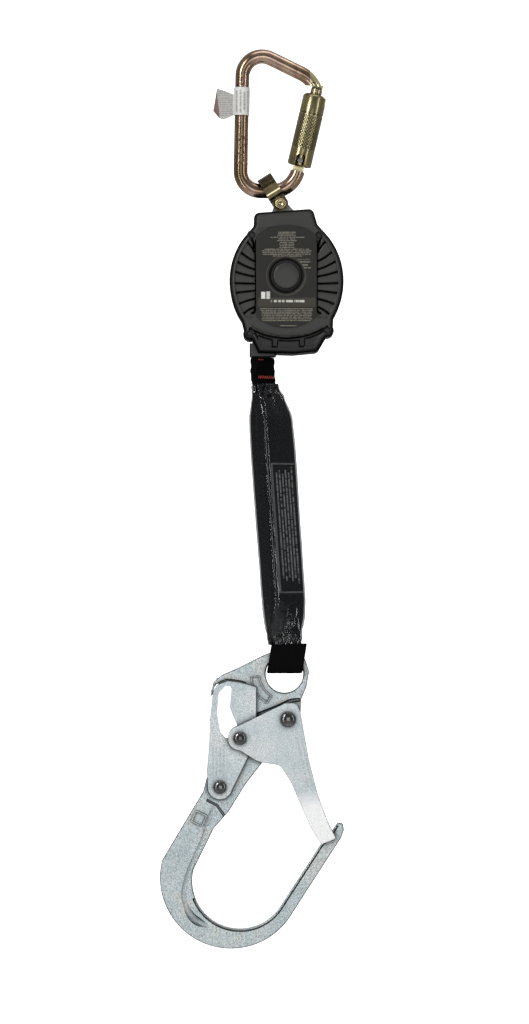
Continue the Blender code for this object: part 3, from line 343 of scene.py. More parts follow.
class Shader:
    """A material's node tree, with short calls for its nodes."""

    def __init__(self, name):
        self.material = bpy.data.materials.new(name)
        self.material.use_nodes = True
        self.tree = self.material.node_tree
        self.surface = self.tree.nodes["Principled BSDF"]
        self.place = self.tree.nodes.new("ShaderNodeTexCoord").outputs["Object"]

    def link(self, source, socket):
        """Joins an output, or sets a plain value."""
        if isinstance(source, bpy.types.NodeSocket):
            self.tree.links.new(source, socket)
        elif isinstance(source, tuple) and (len(source), len(socket.default_value)) == (3, 4):
            socket.default_value = (*source, 1.0)
        else:
            socket.default_value = source

    def set(self, **values):
        """Sets inputs of the surface, with spaces in their names written as underscores."""
        for name, value in values.items():
            self.link(value, self.surface.inputs[name.replace("_", " ")])
        return self

    def math(self, operation, a, b=0.0, c=0.0):
        node = self.tree.nodes.new("ShaderNodeMath")
        node.operation = operation
        for socket, value in zip(node.inputs, (a, b, c)):
            self.link(value, socket)
        return node.outputs[0]

    def times(self, a, b):
        return self.math("MULTIPLY", a, b)

    def times_plus(self, a, b, c):
        """The product of the first two, plus the third."""
        return self.math("MULTIPLY_ADD", a, b, c)

    def plus(self, a, b):
        return self.math("ADD", a, b)

    def minus(self, a, b):
        return self.math("SUBTRACT", a, b)

    def most(self, a, b):
        """The larger of two values."""
        return self.math("MAXIMUM", a, b)

    def vector_math(self, operation, a, b):
        """A vector node: its second input takes a vector, or the factor of a SCALE."""
        node = self.tree.nodes.new("ShaderNodeVectorMath")
        node.operation = operation
        self.link(a, node.inputs[0])
        self.link(b, node.inputs["Scale" if operation == "SCALE" else 1])
        return node.outputs[0]

    def stretch(self, scale, turn=(0.0, 0.0, 0.0)):
        """The object's coordinates, turned and scaled."""
        node = self.tree.nodes.new("ShaderNodeMapping")
        self.link(self.place, node.inputs["Vector"])
        node.inputs["Rotation"].default_value = turn
        node.inputs["Scale"].default_value = scale
        return node.outputs[0]

    def axes(self, vector=None):
        """The x, y and z of a vector, or of the object's coordinates."""
        node = self.tree.nodes.new("ShaderNodeSeparateXYZ")
        self.link(vector or self.place, node.inputs[0])
        return node.outputs

    def noise(self, scale, detail=4.0, vector=None, rough=0.5):
        node = self.tree.nodes.new("ShaderNodeTexNoise")
        self.link(vector or self.place, node.inputs["Vector"])
        node.inputs["Scale"].default_value = scale
        node.inputs["Detail"].default_value = detail
        node.inputs["Roughness"].default_value = rough
        return node.outputs["Fac"]

    def cells(self, scale, vector=None):
        node = self.tree.nodes.new("ShaderNodeTexVoronoi")
        self.link(vector or self.place, node.inputs["Vector"])
        node.inputs["Scale"].default_value = scale
        return node.outputs["Distance"]

    def ramp(self, value, *stops):
        """Colours or greys by place: each stop is (position, colour or grey)."""
        node = self.tree.nodes.new("ShaderNodeValToRGB")
        self.link(value, node.inputs[0])
        points = node.color_ramp.elements
        while len(points) < len(stops):
            points.new(1.0)
        for point, (position, colour) in zip(points, stops):
            point.position = position
            point.color = (*colour, 1.0) if isinstance(colour, tuple) else (*[colour] * 3, 1.0)
        return node.outputs[0]

    def mix(self, share, a, b):
        node = self.tree.nodes.new("ShaderNodeMix")
        node.data_type = "RGBA"
        self.link(share, node.inputs[0])
        self.link(a, node.inputs[6])
        self.link(b, node.inputs[7])
        return node.outputs[2]

    def bump(self, height, strength, distance, under=None):
        node = self.tree.nodes.new("ShaderNodeBump")
        self.link(height, node.inputs["Height"])
        node.inputs["Strength"].default_value = strength
        node.inputs["Distance"].default_value = distance
        if under:
            self.link(under, node.inputs["Normal"])
        return node.outputs[0]

    def crevice_shade(self, colour, distance=0.004, floor=0.25, power=1.6):
        """The colour with painted shade: darker where other surfaces are close."""
        node = self.tree.nodes.new("ShaderNodeAmbientOcclusion")
        node.samples = 6
        node.inputs["Distance"].default_value = distance
        open_share = self.math("POWER", node.outputs["AO"], power)
        return self.vector_math("SCALE", colour, self.times_plus(open_share, 1 - floor, floor))

    def frontal(self, level):
        """A gloss level that fades where the surface turns away."""
        node = self.tree.nodes.new("ShaderNodeLayerWeight")
        node.inputs["Blend"].default_value = 0.5
        facing = self.minus(1.0, node.outputs["Facing"])
        return self.times(self.math("POWER", facing, 1.5), level)

    def flatness(self, floor, low, high):
        """1 on faces square to an axis of the object, down to a floor on the rounding between."""
        normal = self.tree.nodes.new("ShaderNodeTexCoord")
        y = self.axes(normal.outputs["Normal"])[1]
        return self.ramp(
            self.math("ABSOLUTE", y), (0.08, 1.0), (0.20, floor), (low, floor), (high, 1.0)
        )

    def shade_walls(self, colour, share, low=0.60, high=0.95):
        """The colour with painted shade, darker on rounded and sunk edges."""
        return self.vector_math("MULTIPLY", colour, self.flatness(share, low, high))

    def span(self, value, low, high, soft=0.0004):
        """1 where a value is between two limits, with soft edges."""
        rise = self.tree.nodes.new("ShaderNodeMapRange")
        fall = self.tree.nodes.new("ShaderNodeMapRange")
        for node, first, last in ((rise, low - soft, low + soft), (fall, high + soft, high - soft)):
            self.link(value, node.inputs["Value"])
            node.inputs["From Min"].default_value = first
            node.inputs["From Max"].default_value = last
        return self.times(rise.outputs[0], fall.outputs[0])

    def window(self, across, along, box, soft=0.0002):
        """1 inside a rectangle: box is low and high across, then low and high along."""
        return self.times(
            self.span(across, box[0], box[1], soft), self.span(along, box[2], box[3], soft)
        )

    def print_lines(self, across, along, box, pitch, word=0.0011, ragged=0.3, seed=0.0):
        """Strokes that spell nothing, in rows inside a rectangle, each row of its own length."""
        middle = (box[0] + box[1]) / 2
        half = (box[1] - box[0]) / 2
        row = self.math("FLOOR", self.math("DIVIDE", self.plus(along, 10 * pitch), pitch))
        inside = self.math("FRACT", self.math("DIVIDE", self.plus(along, 10 * pitch), pitch))
        stroke = self.span(inside, 0.25, 0.72, 0.08)
        place = self.tree.nodes.new("ShaderNodeCombineXYZ")
        self.link(self.math("DIVIDE", across, word), place.inputs[0])
        self.link(self.times_plus(row, 3.7, seed), place.inputs[1])
        words = self.ramp(self.noise(1.0, 3.0, place.outputs[0], 0.8), (0.40, 0.0), (0.50, 1.0))
        chance = self.tree.nodes.new("ShaderNodeTexWhiteNoise")
        chance.noise_dimensions = "1D"
        self.link(self.plus(row, seed), chance.inputs["W"])
        reach = self.times_plus(chance.outputs["Value"], -ragged * half, half)
        held = self.math("LESS_THAN", self.math("ABSOLUTE", self.minus(across, middle)), reach)
        marks = self.times(self.times(stroke, words), held)
        return self.times(marks, self.window(across, along, box))


def metal(
    name, dark, middle, light, roughness, grain, size=900.0, patch=60.0, depth=0.00008,
    reach=0.0025, power=1.6, knurl_valley_shade=None, painted_highlights=None
):
    """Plated metal: three tones in soft patches, uneven gloss and a fine grain, with painted shade
    where other surfaces are close, and, where given, painted highlights and painted shade in a
    knurl's valleys.
    """
    make = Shader(name)
    patches = make.noise(patch, 5.0, rough=0.6)
    tone = make.ramp(patches, (0.32, dark), (0.5, middle), (0.68, light))
    fine = make.noise(size, 3.0, rough=0.7)
    speck = make.mix(make.ramp(fine, (0.35, 0.0), (0.75, grain)), tone, light)
    # Painted highlights in straw where the given mask is 1.
    if painted_highlights:
        speck = make.mix(painted_highlights(make), speck, (0.75, 0.66, 0.42))
    # Painted shade, near black, in the knurl's valleys.
    if knurl_valley_shade:
        speck = make.mix(knurl_valley_shade(make), tuple(0.06 * c for c in dark), speck)
    gloss = make.times_plus(make.noise(patch * 3, 3.0), 0.16, roughness - 0.08)
    # The base colour carries painted shade where other surfaces are close.
    make.set(
        Base_Color=make.crevice_shade(speck, reach, 0.15, power), Metallic=1.0, Roughness=gloss,
        Normal=make.bump(fine, grain, depth)
    )
    return make.material


def in_frame(make, origin, first, second):
    """How far a place is from an origin in X and Z, along a direction of the XZ plane."""
    x, _, z = make.axes()
    rise = make.times(make.minus(z, origin[1]), second)
    return make.times_plus(make.minus(x, origin[0]), first, rise)


def along_gate(make):
    """The height along the carabiner's gate, from its hinge."""
    return in_frame(make, GATE_HINGE, GATE_AXIS[0], GATE_AXIS[2])


def knurl_crest(make):
    """1 on the crests of the sleeve's diamond knurl and 0 in its valleys, and 1 off the knurl: the
    mask for painted shade in the valleys.
    """
    y = make.axes()[1]
    across = in_frame(make, GATE_HINGE, -GATE_AXIS[2], GATE_AXIS[0])
    height = along_gate(make)
    turn = make.times(make.math("ARCTAN2", across, y), KNURL_TURNS)
    run = make.times(height, math.pi / KNURL_RISE)
    waves = [
        make.math("ABSOLUTE", make.math("SINE", make.math(way, turn, run)))
        for way in ("ADD", "SUBTRACT")
    ]
    crest = make.ramp(make.math("MINIMUM", *waves), (0.26, 0.0), (0.50, 1.0))
    off = make.minus(1.0, make.span(height, KNURL_LOW + 0.0004, KNURL_HIGH - 0.0004, 0.0003))
    return make.most(crest, off)


def strap_fold_highlights(make):
    """1 on the strap's two folds, where highlights are painted."""
    along = in_frame(make, EYE_CENTRE, math.sin(EYE_TILT), -math.cos(EYE_TILT))
    return make.most(
        make.span(along, 0.0008, 0.0018, 0.0002), make.span(along, 0.0060, 0.0073, 0.0002)
    )


def zinc_forging():
    """The hook's pale zinc: a bluish grain with bright specks and a trace of iridescence, with
    painted shade where other surfaces are close and on faces turned from the front.
    """
    make = Shader("pale_zinc_forging")
    grain = make.noise(1500.0, 3.0, rough=0.75)
    cloud = make.noise(38.0, 4.0, rough=0.6)
    tone = make.ramp(
        cloud, (0.30, (0.48, 0.56, 0.585)), (0.5, (0.58, 0.65, 0.67)), (0.62, (0.64, 0.67, 0.65)),
        (0.75, (0.53, 0.63, 0.68))
    )
    specks = make.ramp(grain, (0.36, 0.35), (0.48, 0.92), (0.64, 1.35))
    tinted = make.vector_math("MULTIPLY", tone, specks)
    gloss = make.ramp(grain, (0.3, 0.34), (0.7, 0.52))
    hammer = make.noise(260.0, 2.0)
    bumps = make.bump(hammer, 0.25, 0.00025, make.bump(grain, 0.35, 0.00010))
    # Painted shade: darker near close surfaces and much darker on faces turned from the front.
    make.set(
        Base_Color=make.shade_walls(make.crevice_shade(tinted, 0.005, 0.06, 4.0), 0.07, 0.75, 0.97),
        Metallic=0.82, Roughness=gloss, Normal=bumps
    )
    return make.material


def yellow_zinc():
    """The carabiner's yellow zinc: brown and olive with copper patches, stamped on its spine, with
    painted shade where other surfaces are close.
    """
    make = Shader("yellow_zinc_rod")
    flow = make.noise(1.0, 4.0, make.stretch((70, 70, 26)), 0.55)
    tone = make.ramp(
        flow, (0.28, (0.19, 0.130, 0.075)), (0.44, (0.29, 0.205, 0.130)),
        (0.56, (0.44, 0.300, 0.240)), (0.74, (0.50, 0.400, 0.24))
    )
    fine = make.noise(1300.0, 2.0, rough=0.7)
    x, _, z = make.axes()
    spine = make.math("LESS_THAN", x, -0.0090)
    marks = make.most(
        make.span(z, -0.0190, -0.0100, 0.0008), make.span(z, -0.0790, -0.0550, 0.0008)
    )
    cells = make.cells(620.0, make.stretch((1.0, 1.0, 0.55)))
    stamp = make.times(make.times(spine, marks), make.ramp(cells, (0.25, 1.0), (0.50, 0.0)))
    along = along_gate(make)
    nose = make.times(
        make.math("GREATER_THAN", along, 0.0530), make.math("GREATER_THAN", x, 0.0370)
    )
    claw = make.times(
        make.span(along, -0.0085, 0.0100, 0.0004), make.math("GREATER_THAN", x, 0.0200)
    )
    ends = make.most(nose, claw)
    tone = make.mix(make.times(ends, 0.9), tone, (0.78, 0.70, 0.42))
    colour = make.mix(make.times(stamp, 0.65), tone, (0.07, 0.045, 0.02))
    # Painted shade where other surfaces are close.
    colour = make.crevice_shade(colour, 0.003, 0.10, 2.5)
    gloss = make.times_plus(make.noise(120.0, 3.0), 0.12, 0.13)
    height = make.minus(make.times(fine, 0.015), stamp)
    make.set(
        Base_Color=colour, Metallic=1.0, Roughness=gloss, Normal=make.bump(height, 0.35, 0.00010)
    )
    return make.material


def moulded(name, colour, roughness, size=1400.0, strength=0.35, foot=False):
    """Moulded plastic with a fine spark-eroded texture and faint clouds, with painted shade where
    other surfaces are close and on rounded and sunk edges, and, when asked, painted shade on the
    foot under the lower lip.
    """
    make = Shader(name)
    fine = make.noise(size, 4.0, rough=0.65)
    cloud = make.noise(45.0, 3.0)
    light = tuple(1.35 * c + 0.004 for c in colour)
    gloss = make.times_plus(cloud, 0.14, roughness - 0.07)
    # Painted shade near close surfaces and on rounded and sunk edges.
    shade = make.shade_walls(
        make.crevice_shade(make.mix(cloud, colour, light), 0.0035, 0.05, 3.5), 0.25, 0.45, 0.97
    )
    # Painted shade under the lower lip: below a height the colour is far darker.
    if foot:
        z = make.axes()[2]
        shade = make.mix(
            make.ramp(make.times_plus(z, 10.0, 3.0), (0.870, 0.0), (0.905, 1.0)),
            tuple(0.10 * c for c in colour), shade
        )
    make.set(Base_Color=shade, Roughness=gloss, Normal=make.bump(fine, strength, 0.00006))
    make.set(Specular_IOR_Level=make.times(make.frontal(0.55), make.flatness(0.0, 0.45, 0.97)))
    return make.material


def webbing(name, colour=(0.0012, 0.0012, 0.0014)):
    """Woven webbing: ribs across, a twill along, and fibre fuzz."""
    make = Shader(name)
    x, _, z = make.axes()
    warp = make.math("SINE", make.times(x, 2 * math.pi / 0.0011))
    weft = make.math("SINE", make.times_plus(z, 2 * math.pi / 0.0013, make.times(warp, 1.3)))
    weave = make.times_plus(weft, 0.5, make.times(warp, 0.35))
    fuzz = make.noise(2600.0, 3.0, rough=0.8)
    height = make.times_plus(fuzz, 0.6, weave)
    tone = make.ramp(
        make.times_plus(height, 0.35, 0.4), (0.1, tuple(0.45 * c for c in colour)),
        (0.8, tuple(2.6 * c for c in colour))
    )
    make.set(Base_Color=tone, Roughness=0.82, Normal=make.bump(height, 0.65, 0.00028))
    make.set(Specular_IOR_Level=make.frontal(0.07))
    return make.material


# Carabiner

def gate_point(across, along):
    """A point of the gate's own frame: across towards +X, along from the hinge to the nose."""
    lean = (math.sin(GATE_LEAN), math.cos(GATE_LEAN))
    return (
        GATE_HINGE[0] + across * lean[1] + along * lean[0],
        GATE_HINGE[1] - across * lean[0] + along * lean[1]
    )


def gate_plate(corners, front, back):
    """A plate drawn in the gate's frame."""
    return plate([gate_point(x, z) for x, z in corners], front, back)


def gate_band(inner, outer, left, right):
    """Part of a ring about the gate hinge, between two angles in degrees from the gate's line."""
    line = 90 - math.degrees(GATE_LEAN)
    return arc(GATE_HINGE, outer, line + right, line + left, 16) + arc(
        GATE_HINGE, inner, line + left, line + right, 16
    )


def rod_path():
    """The rod's centreline from its nose, over the bow and down the spine to the gate hinge."""
    nose = arc((0.0209, -0.0276), 0.0220, 17, 64, 14)
    heading = (math.cos(math.radians(73)), -math.sin(math.radians(73)))
    tip = [(nose[0][0] + d * heading[0], nose[0][1] + d * heading[1]) for d in (0.0030, 0.0015)]
    bow = arc((0.0, -0.0096), 0.0150, 64, 181, 26)
    foot = arc((-0.0010, -0.0830), 0.0154, 181, 270, 20)
    bend = arc((0.0080, -0.0784), 0.0200, 270, 360 - math.degrees(GATE_LEAN), 18)
    return tip + nose + bow + foot + bend + [gate_point(0, -0.002)]


def carabiner_rod():
    """The bent rod: a machined nose with its hooked tongue, and a claw at the hinge."""
    rod = swept([at(p) for p in rod_path()], ROD_RADIUS, 40)
    rod = cut(rod, plate(gate_band(0.047, NOSE_FACE, 12, -12), -0.008, 0.008))
    nose = [
        (-0.0040, 0.0540), (-0.0030, 0.0532), (0.0030, 0.0532), (0.0042, 0.0545), (0.0042, 0.0600),
        (-0.0040, 0.0600)
    ]
    hinge_end = [(-0.008, -0.0085), (0.008, -0.0085), (0.008, 0.006), (-0.008, 0.006)]
    tongue = [(-0.0044, -0.0100), (0.0044, -0.0100)] + arc((0, 0), 0.0044, 0, 180, 20)
    groove = turning(
        [(0.0047, 0.0600), (0.0047, 0.0608), (0.008, 0.0608), (0.008, 0.0600)], at(GATE_HINGE),
        GATE_AXIS, 40, True
    )
    rod = cut(rod, gate_plate(nose, -0.0018, 0.0018), operation="UNION")
    rod = cut(
        rod,
        plate(gate_band(NOSE_PIN_HEIGHT - 0.0012, NOSE_PIN_HEIGHT + 0.0012, 7, -1.4), -0.004, 0.004)
    )
    rod = cut(rod, gate_plate(hinge_end, -0.008, 0.008), groove)
    rod = cut(rod, gate_plate(tongue, -0.0018, 0.0018), operation="UNION")
    return cut(rod, rod_y(GATE_HINGE, HINGE_BORE, -0.004, 0.004))


def gate_stem():
    """The gate's stem, forked at both ends, with its flange inside the sleeve."""
    profile = [
        (0.0040, -0.0046), (0.0050, -0.0036), (0.0050, 0.0430), (0.0070, 0.0434), (0.0070, 0.0454),
        (0.0050, 0.0458), (0.0050, 0.0526), (0.0046, 0.0528), (0.0046, 0.0532), (0.0050, 0.0534),
        (0.0050, 0.0563), (0.0043, 0.0570),
    ]
    stem = turning(profile, at(GATE_HINGE), GATE_AXIS, 48)
    tools = []
    for low, high in ((-0.006, 0.0055), (0.0527, 0.060)):
        corners = [(-0.008, low), (0.008, low), (0.008, high), (-0.008, high)]
        tools.append(gate_plate(corners, -0.0022, 0.0022))
    tools.append(rod_y(GATE_HINGE, HINGE_BORE, -0.008, 0.008))
    tools.append(rod_y(gate_point(0, NOSE_PIN_HEIGHT), 0.00105, -0.008, 0.008, 24))
    tools.append(turning([(0.0023, 0.004), (0.0023, 0.0200)], at(GATE_HINGE), GATE_AXIS, 24))
    return cut(stem, *tools)


def knurl(turn, height, low, high):
    """How far a diamond knurl stands in, at a turn in radians and a height."""
    if not low < height < high:
        return 0.0
    fade = min(1.0, (height - low) / 0.0008, (high - height) / 0.0008)
    run = height / KNURL_RISE * math.pi
    first = abs(math.sin(turn * KNURL_TURNS + run))
    other = abs(math.sin(turn * KNURL_TURNS - run))
    return KNURL_DEPTH * fade * (1 - min(first, other) ** 0.7)


def sleeve_barrel():
    """The twist-lock barrel: collar, diamond knurl, smooth skirt and a notch over the hinge."""
    radius = SLEEVE_RADIUS
    side, other = Vector((0, 1, 0)), Vector(GATE_AXIS).cross(Vector((0, 1, 0)))
    sides = 280
    profile = [
        (radius - 0.0008, -0.0040), (radius - 0.0003, -0.0038), (radius, -0.0032), (radius, 0.0085)
    ]
    profile += [(radius, 0.0090 + 0.0270 * i / 108) for i in range(109)]
    profile += [
        (radius, 0.0364), (radius - 0.0004, 0.0367), (radius - 0.0004, 0.0372), (radius, 0.0375),
        (radius, 0.0499), (radius - 0.0004, 0.0508), (radius - 0.0018, 0.0521), (0.0054, 0.0521),
        (0.0054, 0.0462), (0.0076, 0.0460), (0.0076, 0.0080), (0.0081, 0.0076), (0.0081, -0.0040),
    ]
    rings = []
    for r, height in profile:
        middle = Vector(at(GATE_HINGE)) + Vector(GATE_AXIS) * height
        ring = []
        for i in range(sides):
            a = 2 * math.pi * i / sides
            depth = knurl(a, height, KNURL_LOW, KNURL_HIGH) if r == radius else 0.0
            ring.append(middle + (side * math.cos(a) + other * math.sin(a)) * (r - depth))
        rings.append(ring)
    notch = [
        (-0.0034, -0.006), (0.0034, -0.006), (0.0034, 0.0030), (0.0019, 0.0045), (-0.0019, 0.0045),
        (-0.0034, 0.0030)
    ]
    return cut(lofted(rings, True), gate_plate(notch, -0.012, 0.012))


def tag_mesh():
    """The tag: a wrap round the spine and a curled flag."""
    foot, lean = Vector((-0.0158, 0, -0.0400)), Vector((0.0004, 0, 0.0215))
    tall = lean.length
    profile = [(0.0062, 0), (0.00623, 0.011), (0.0062, tall), (0.0059, tall), (0.0059, 0)]
    wrap = turning(profile, foot, lean, 48, True)
    top = smooth_path([(-0.0214, -0.0240), (-0.0280, -0.0214), (-0.0347, -0.0193)], 6)
    low = smooth_path([(-0.0214, -0.0398), (-0.0308, -0.0431), (-0.0377, -0.0370)], 6)
    rows = []
    for i, (a, b) in enumerate(zip(top, low)):
        share = i / (len(top) - 1)
        row = []
        for k in range(13):
            t = k / 12
            curl = 0.0016 * math.sin(math.pi * t * 0.9) * share - 0.0022 * share**2
            row.append((a[0] + (b[0] - a[0]) * t, curl - 0.0004, a[1] + (b[1] - a[1]) * t))
        rows.append(row)
    front = np.array(rows)
    back = front + np.array([0, 0.0003, 0])
    rings = [np.concatenate([f, b[::-1]]) for f, b in zip(front, back)]
    return merged(wrap, lofted(rings))


def strap_point(across, along):
    """A point of the strap's frame: across its width, along from the rod to the clevis pin."""
    return (
        EYE_CENTRE[0] + across * math.cos(EYE_TILT) + along * math.sin(EYE_TILT),
        EYE_CENTRE[1] + across * math.sin(EYE_TILT) - along * math.cos(EYE_TILT),
    )


CLEVIS = strap_point(0, EYE_TO_PIN)


def strap_mesh():
    """A steel strap folded over the rod, its legs joggled in and rounded about the pin."""
    end = EYE_TO_PIN + STRAP_HALF_WIDTH
    leg_out, outer, inner = 0.0057, 0.0086, 0.0062
    outside = smooth_path(
        [(end, leg_out), (0.0098, leg_out), (0.0070, leg_out + 0.0003), (0.0044, outer - 0.0004)], 5
    )
    outside = [tuple(p) for p in outside] + arc((-0.0044, 0), outer, 88, 180, 14)
    inside = smooth_path(
        [(end, 0.0033), (0.0100, 0.0033), (0.0077, 0.0035), (0.0049, inner - 0.0002)], 5
    )
    inside = [tuple(p) for p in inside] + arc((-0.0044, 0), inner, 88, 180, 14)
    section = outside + [(x, -y) for x, y in outside[-2::-1]]
    section += [(x, -y) for x, y in inside] + inside[-2::-1]
    rings = []
    for across in (-STRAP_HALF_WIDTH, STRAP_HALF_WIDTH):
        rings.append([at(strap_point(across, along), depth) for along, depth in section])
    bite = [(-0.008, EYE_TO_PIN), (-STRAP_HALF_WIDTH, EYE_TO_PIN)]
    bite += [(-x, EYE_TO_PIN + z) for x, z in arc((0, 0), STRAP_HALF_WIDTH, 0, 180, 28)[1:-1]]
    bite += [(STRAP_HALF_WIDTH, EYE_TO_PIN), (0.008, EYE_TO_PIN), (0.008, 0.0200), (-0.008, 0.0200)]
    groove = [(0.0047, 0.0), (0.0047, 0.001), (0.0052, 0.001), (0.0052, 0.0)]
    ring = spun(groove, CLEVIS, 40, True, -0.0061)
    strap = cut(lofted(rings), plate([strap_point(x, z) for x, z in bite], -0.010, 0.010), ring)
    return cut(strap, rod_y(CLEVIS, 0.00295, -0.010, 0.010))


def clevis_mesh():
    """The riveted pin: a spun head with a ring and a dimple at each side."""
    under = 0.0060
    half = [
        (0.0002, under + 0.0010), (0.0010, under + 0.0012), (0.0016, under + 0.0016),
        (0.0026, under + 0.0016), (0.0031, under + 0.0011), (0.0036, under + 0.0012),
        (0.0041, under + 0.0010), (0.0044, under + 0.0006), (0.0044, under), (0.0028, under),
    ]
    profile = [(r, -h) for r, h in half] + half[::-1]
    return spun(profile, CLEVIS, 48)


def carabiner_pieces(look):
    """Every visible piece of the carabiner and of the eye below it."""
    piece(
        "rod", carabiner_rod(), look["yellow_zinc"], "carabiner", ["carabiner_body"],
        0.00035
    )
    piece(
        "gate_stem_shape", gate_stem(), look["straw_zinc"], "gate",
        ["carabiner_gate"], 0.0002
    )
    piece(
        "twist_sleeve", sleeve_barrel(), look["olive_zinc"], "sleeve",
        ["locking_sleeve"], 0, 50
    )
    piece("tag", tag_mesh(), look["tag"], "carabiner", ["inspection_tag"])
    piece(
        "folded_strap", strap_mesh(), look["strap"], "captive_eye",
        ["captive_eye"], 0.0008
    )
    piece(
        "clevis_rivet", clevis_mesh(), look["straw_zinc"], "captive_eye",
        ["clevis_pin"]
    )


# Housing

def cover_outline():
    """The housing's outline about the drum: a top block, an oval body and a foot with two lugs."""
    left_lug, right_lug = SCREW_PLACES[0], SCREW_PLACES[1]
    top = [(0.0205, 0.0516, 0.0045), (-0.0246, 0.0484, 0.0045), (-0.0250, 0.0380, 0.003)]
    left = sharp(arc((0.0003, -0.0039), (0.0438, 0.0500), 134, 218, 40))
    left_foot = sharp(arc(left_lug, 0.0050, 150, 290, 14))
    foot = [
        (-0.0236, -0.0545, 0.0), (-0.0215, -0.0592, 0.001), (0.0050, -0.0600, 0.0),
        (0.0240, -0.0582, 0.0045)
    ]
    right_foot = sharp(arc(right_lug, 0.0050, -100, 30, 14))
    right = sharp(arc((0.0003, -0.0039), (0.0438, 0.0500), -35, 46, 40))
    return rounded(
        top + left + left_foot + foot + right_foot + right + [(0.0240, 0.0395, 0.003)], 5
    )


FIN_INNER = (0.0177, 0.0168, 0.0108, 0.0046, -0.0008, -0.0062, -0.0116, -0.0177, -0.0239)
FIN_OUTER = (
    (0.0290, 0.0338), (0.0340, 0.0290), (0.0385, 0.0218), (0.0415, 0.0136), (0.0430, 0.0046),
    (0.0430, -0.0056), (0.0420, -0.0140), (0.0382, -0.0228), (0.0325, -0.0292),
)
PANEL_EDGE = 0.0236
SHOULDER, COVER_COLUMNS, FACE_RINGS = 0.0034, 560, 78


def groove_paths():
    """The curved grooves of the fan at each side, and the line along each edge of the panel."""
    paths = []
    for side in (-1, 1):
        for inner, outer in zip(FIN_INNER, FIN_OUTER):
            a = np.array([PANEL_EDGE, inner])
            c = np.array(outer)
            rise = 0.62 if inner > 0.015 else 0.30
            b = a + (c - a) * np.array([0.55 if inner < 0.015 else 0.30, rise])
            t = np.linspace(0, 1, 14)[:, None]
            curve = a * (1 - t) ** 2 + 2 * b * t * (1 - t) + c * t**2
            paths.append(curve * np.array([side, 1]))
        edge = smooth_path([
            (0.0205, 0.0330), (0.0226, 0.0285), (PANEL_EDGE, 0.0200), (PANEL_EDGE, -0.0230),
            (0.0262, -0.0290),
        ], 5)
        paths.append(np.array(edge) * np.array([side, 1]))
    return paths


def distance_to(points, path):
    """How far each point is from a path of straight runs."""
    best = np.full(len(points), 1.0)
    for a, b in zip(path[:-1], path[1:]):
        run = b - a
        share = np.clip(((points - a) @ run) / (run @ run), 0, 1)
        best = np.minimum(best, np.linalg.norm(points - (a + share[:, None] * run), axis=1))
    return best


def step(value, low, high):
    """A smooth rise from 0 to 1 between two values."""
    t = np.clip((value - low) / (high - low), 0, 1)
    return t * t * (3 - 2 * t)


def fan_relief(points):
    """Relief of the finned sides: grooves, fins that crown between them and a raised rim."""
    nearest = np.min([distance_to(points, path) for path in groove_paths()], axis=0)
    relief = -0.0017 * np.exp(-((nearest / 0.00045) ** 2)) - 0.0004 * np.exp(-nearest / 0.0012)
    beside = step(np.abs(points[:, 0]), PANEL_EDGE, PANEL_EDGE + 0.001)
    oval = np.hypot((points[:, 0] - 0.0003) / 0.0438, (points[:, 1] + 0.0039) / 0.0500)
    inside = step(0.985 - oval, 0.0, 0.01) * beside * step(points[:, 1], -0.0330, -0.0310)
    inside *= step(0.0350 - points[:, 1], 0.0, 0.002)
    edge = step(0.0006 - np.abs(np.abs(points[:, 0]) - PANEL_EDGE), 0, 0.0004)
    return relief * np.maximum(inside, edge) - 0.0006 * inside


def front_relief(points):
    """Relief of the front face, outwards: boss ring, fan, lower lip and the three pads under it."""
    x, z = points[:, 0], points[:, 1]
    r = np.hypot(x, z)
    relief = fan_relief(points) * step(r, 0.0150, 0.0160)
    ring = np.exp(-(((r - 0.0145) / 0.0004) ** 2))
    relief += -0.0017 * (1 - step(r, 0.0112, 0.0142)) + 0.0003 * ring
    lip = np.hypot(x - 0.0005, z - 0.0080) - 0.0554
    foot = step(-z, 0.030, 0.034)
    below = step(lip, 0.0, 0.0012) * foot
    bead = np.exp(-(((lip + 0.0007) / 0.0007) ** 2))
    relief += 0.0010 * bead * step(0.0290 - np.abs(x), 0, 0.003) * foot
    pad = np.zeros(len(points))
    for left, right in ((-0.0215, -0.0108), (-0.0065, 0.0100), (0.0140, 0.0275)):
        rise = step(x, left - 0.0005, left + 0.0004)
        pad = np.maximum(pad, rise * (1 - step(x, right - 0.0004, right + 0.0005)))
    pad *= step(lip, 0.0022, 0.0032)
    relief += below * (-0.0022 + 0.0019 * pad)
    shoulder = np.abs(z - 0.0365 - 0.0008 * np.cos(x / 0.008))
    crease = np.exp(-((shoulder / 0.0006) ** 2))
    return relief - 0.0003 * crease * step(0.0240 - np.abs(x), 0, 0.001)


def rear_relief(points):
    """Relief of the rear face: the same fan, and a shallow oblong panel."""
    x, z = points[:, 0], points[:, 1]
    across = step(0.0205 - np.abs(x), 0.0, 0.0006)
    along = step(0.0300 - np.abs(z + 0.002), 0.0, 0.0006)
    return fan_relief(points) - 0.0005 * across * along


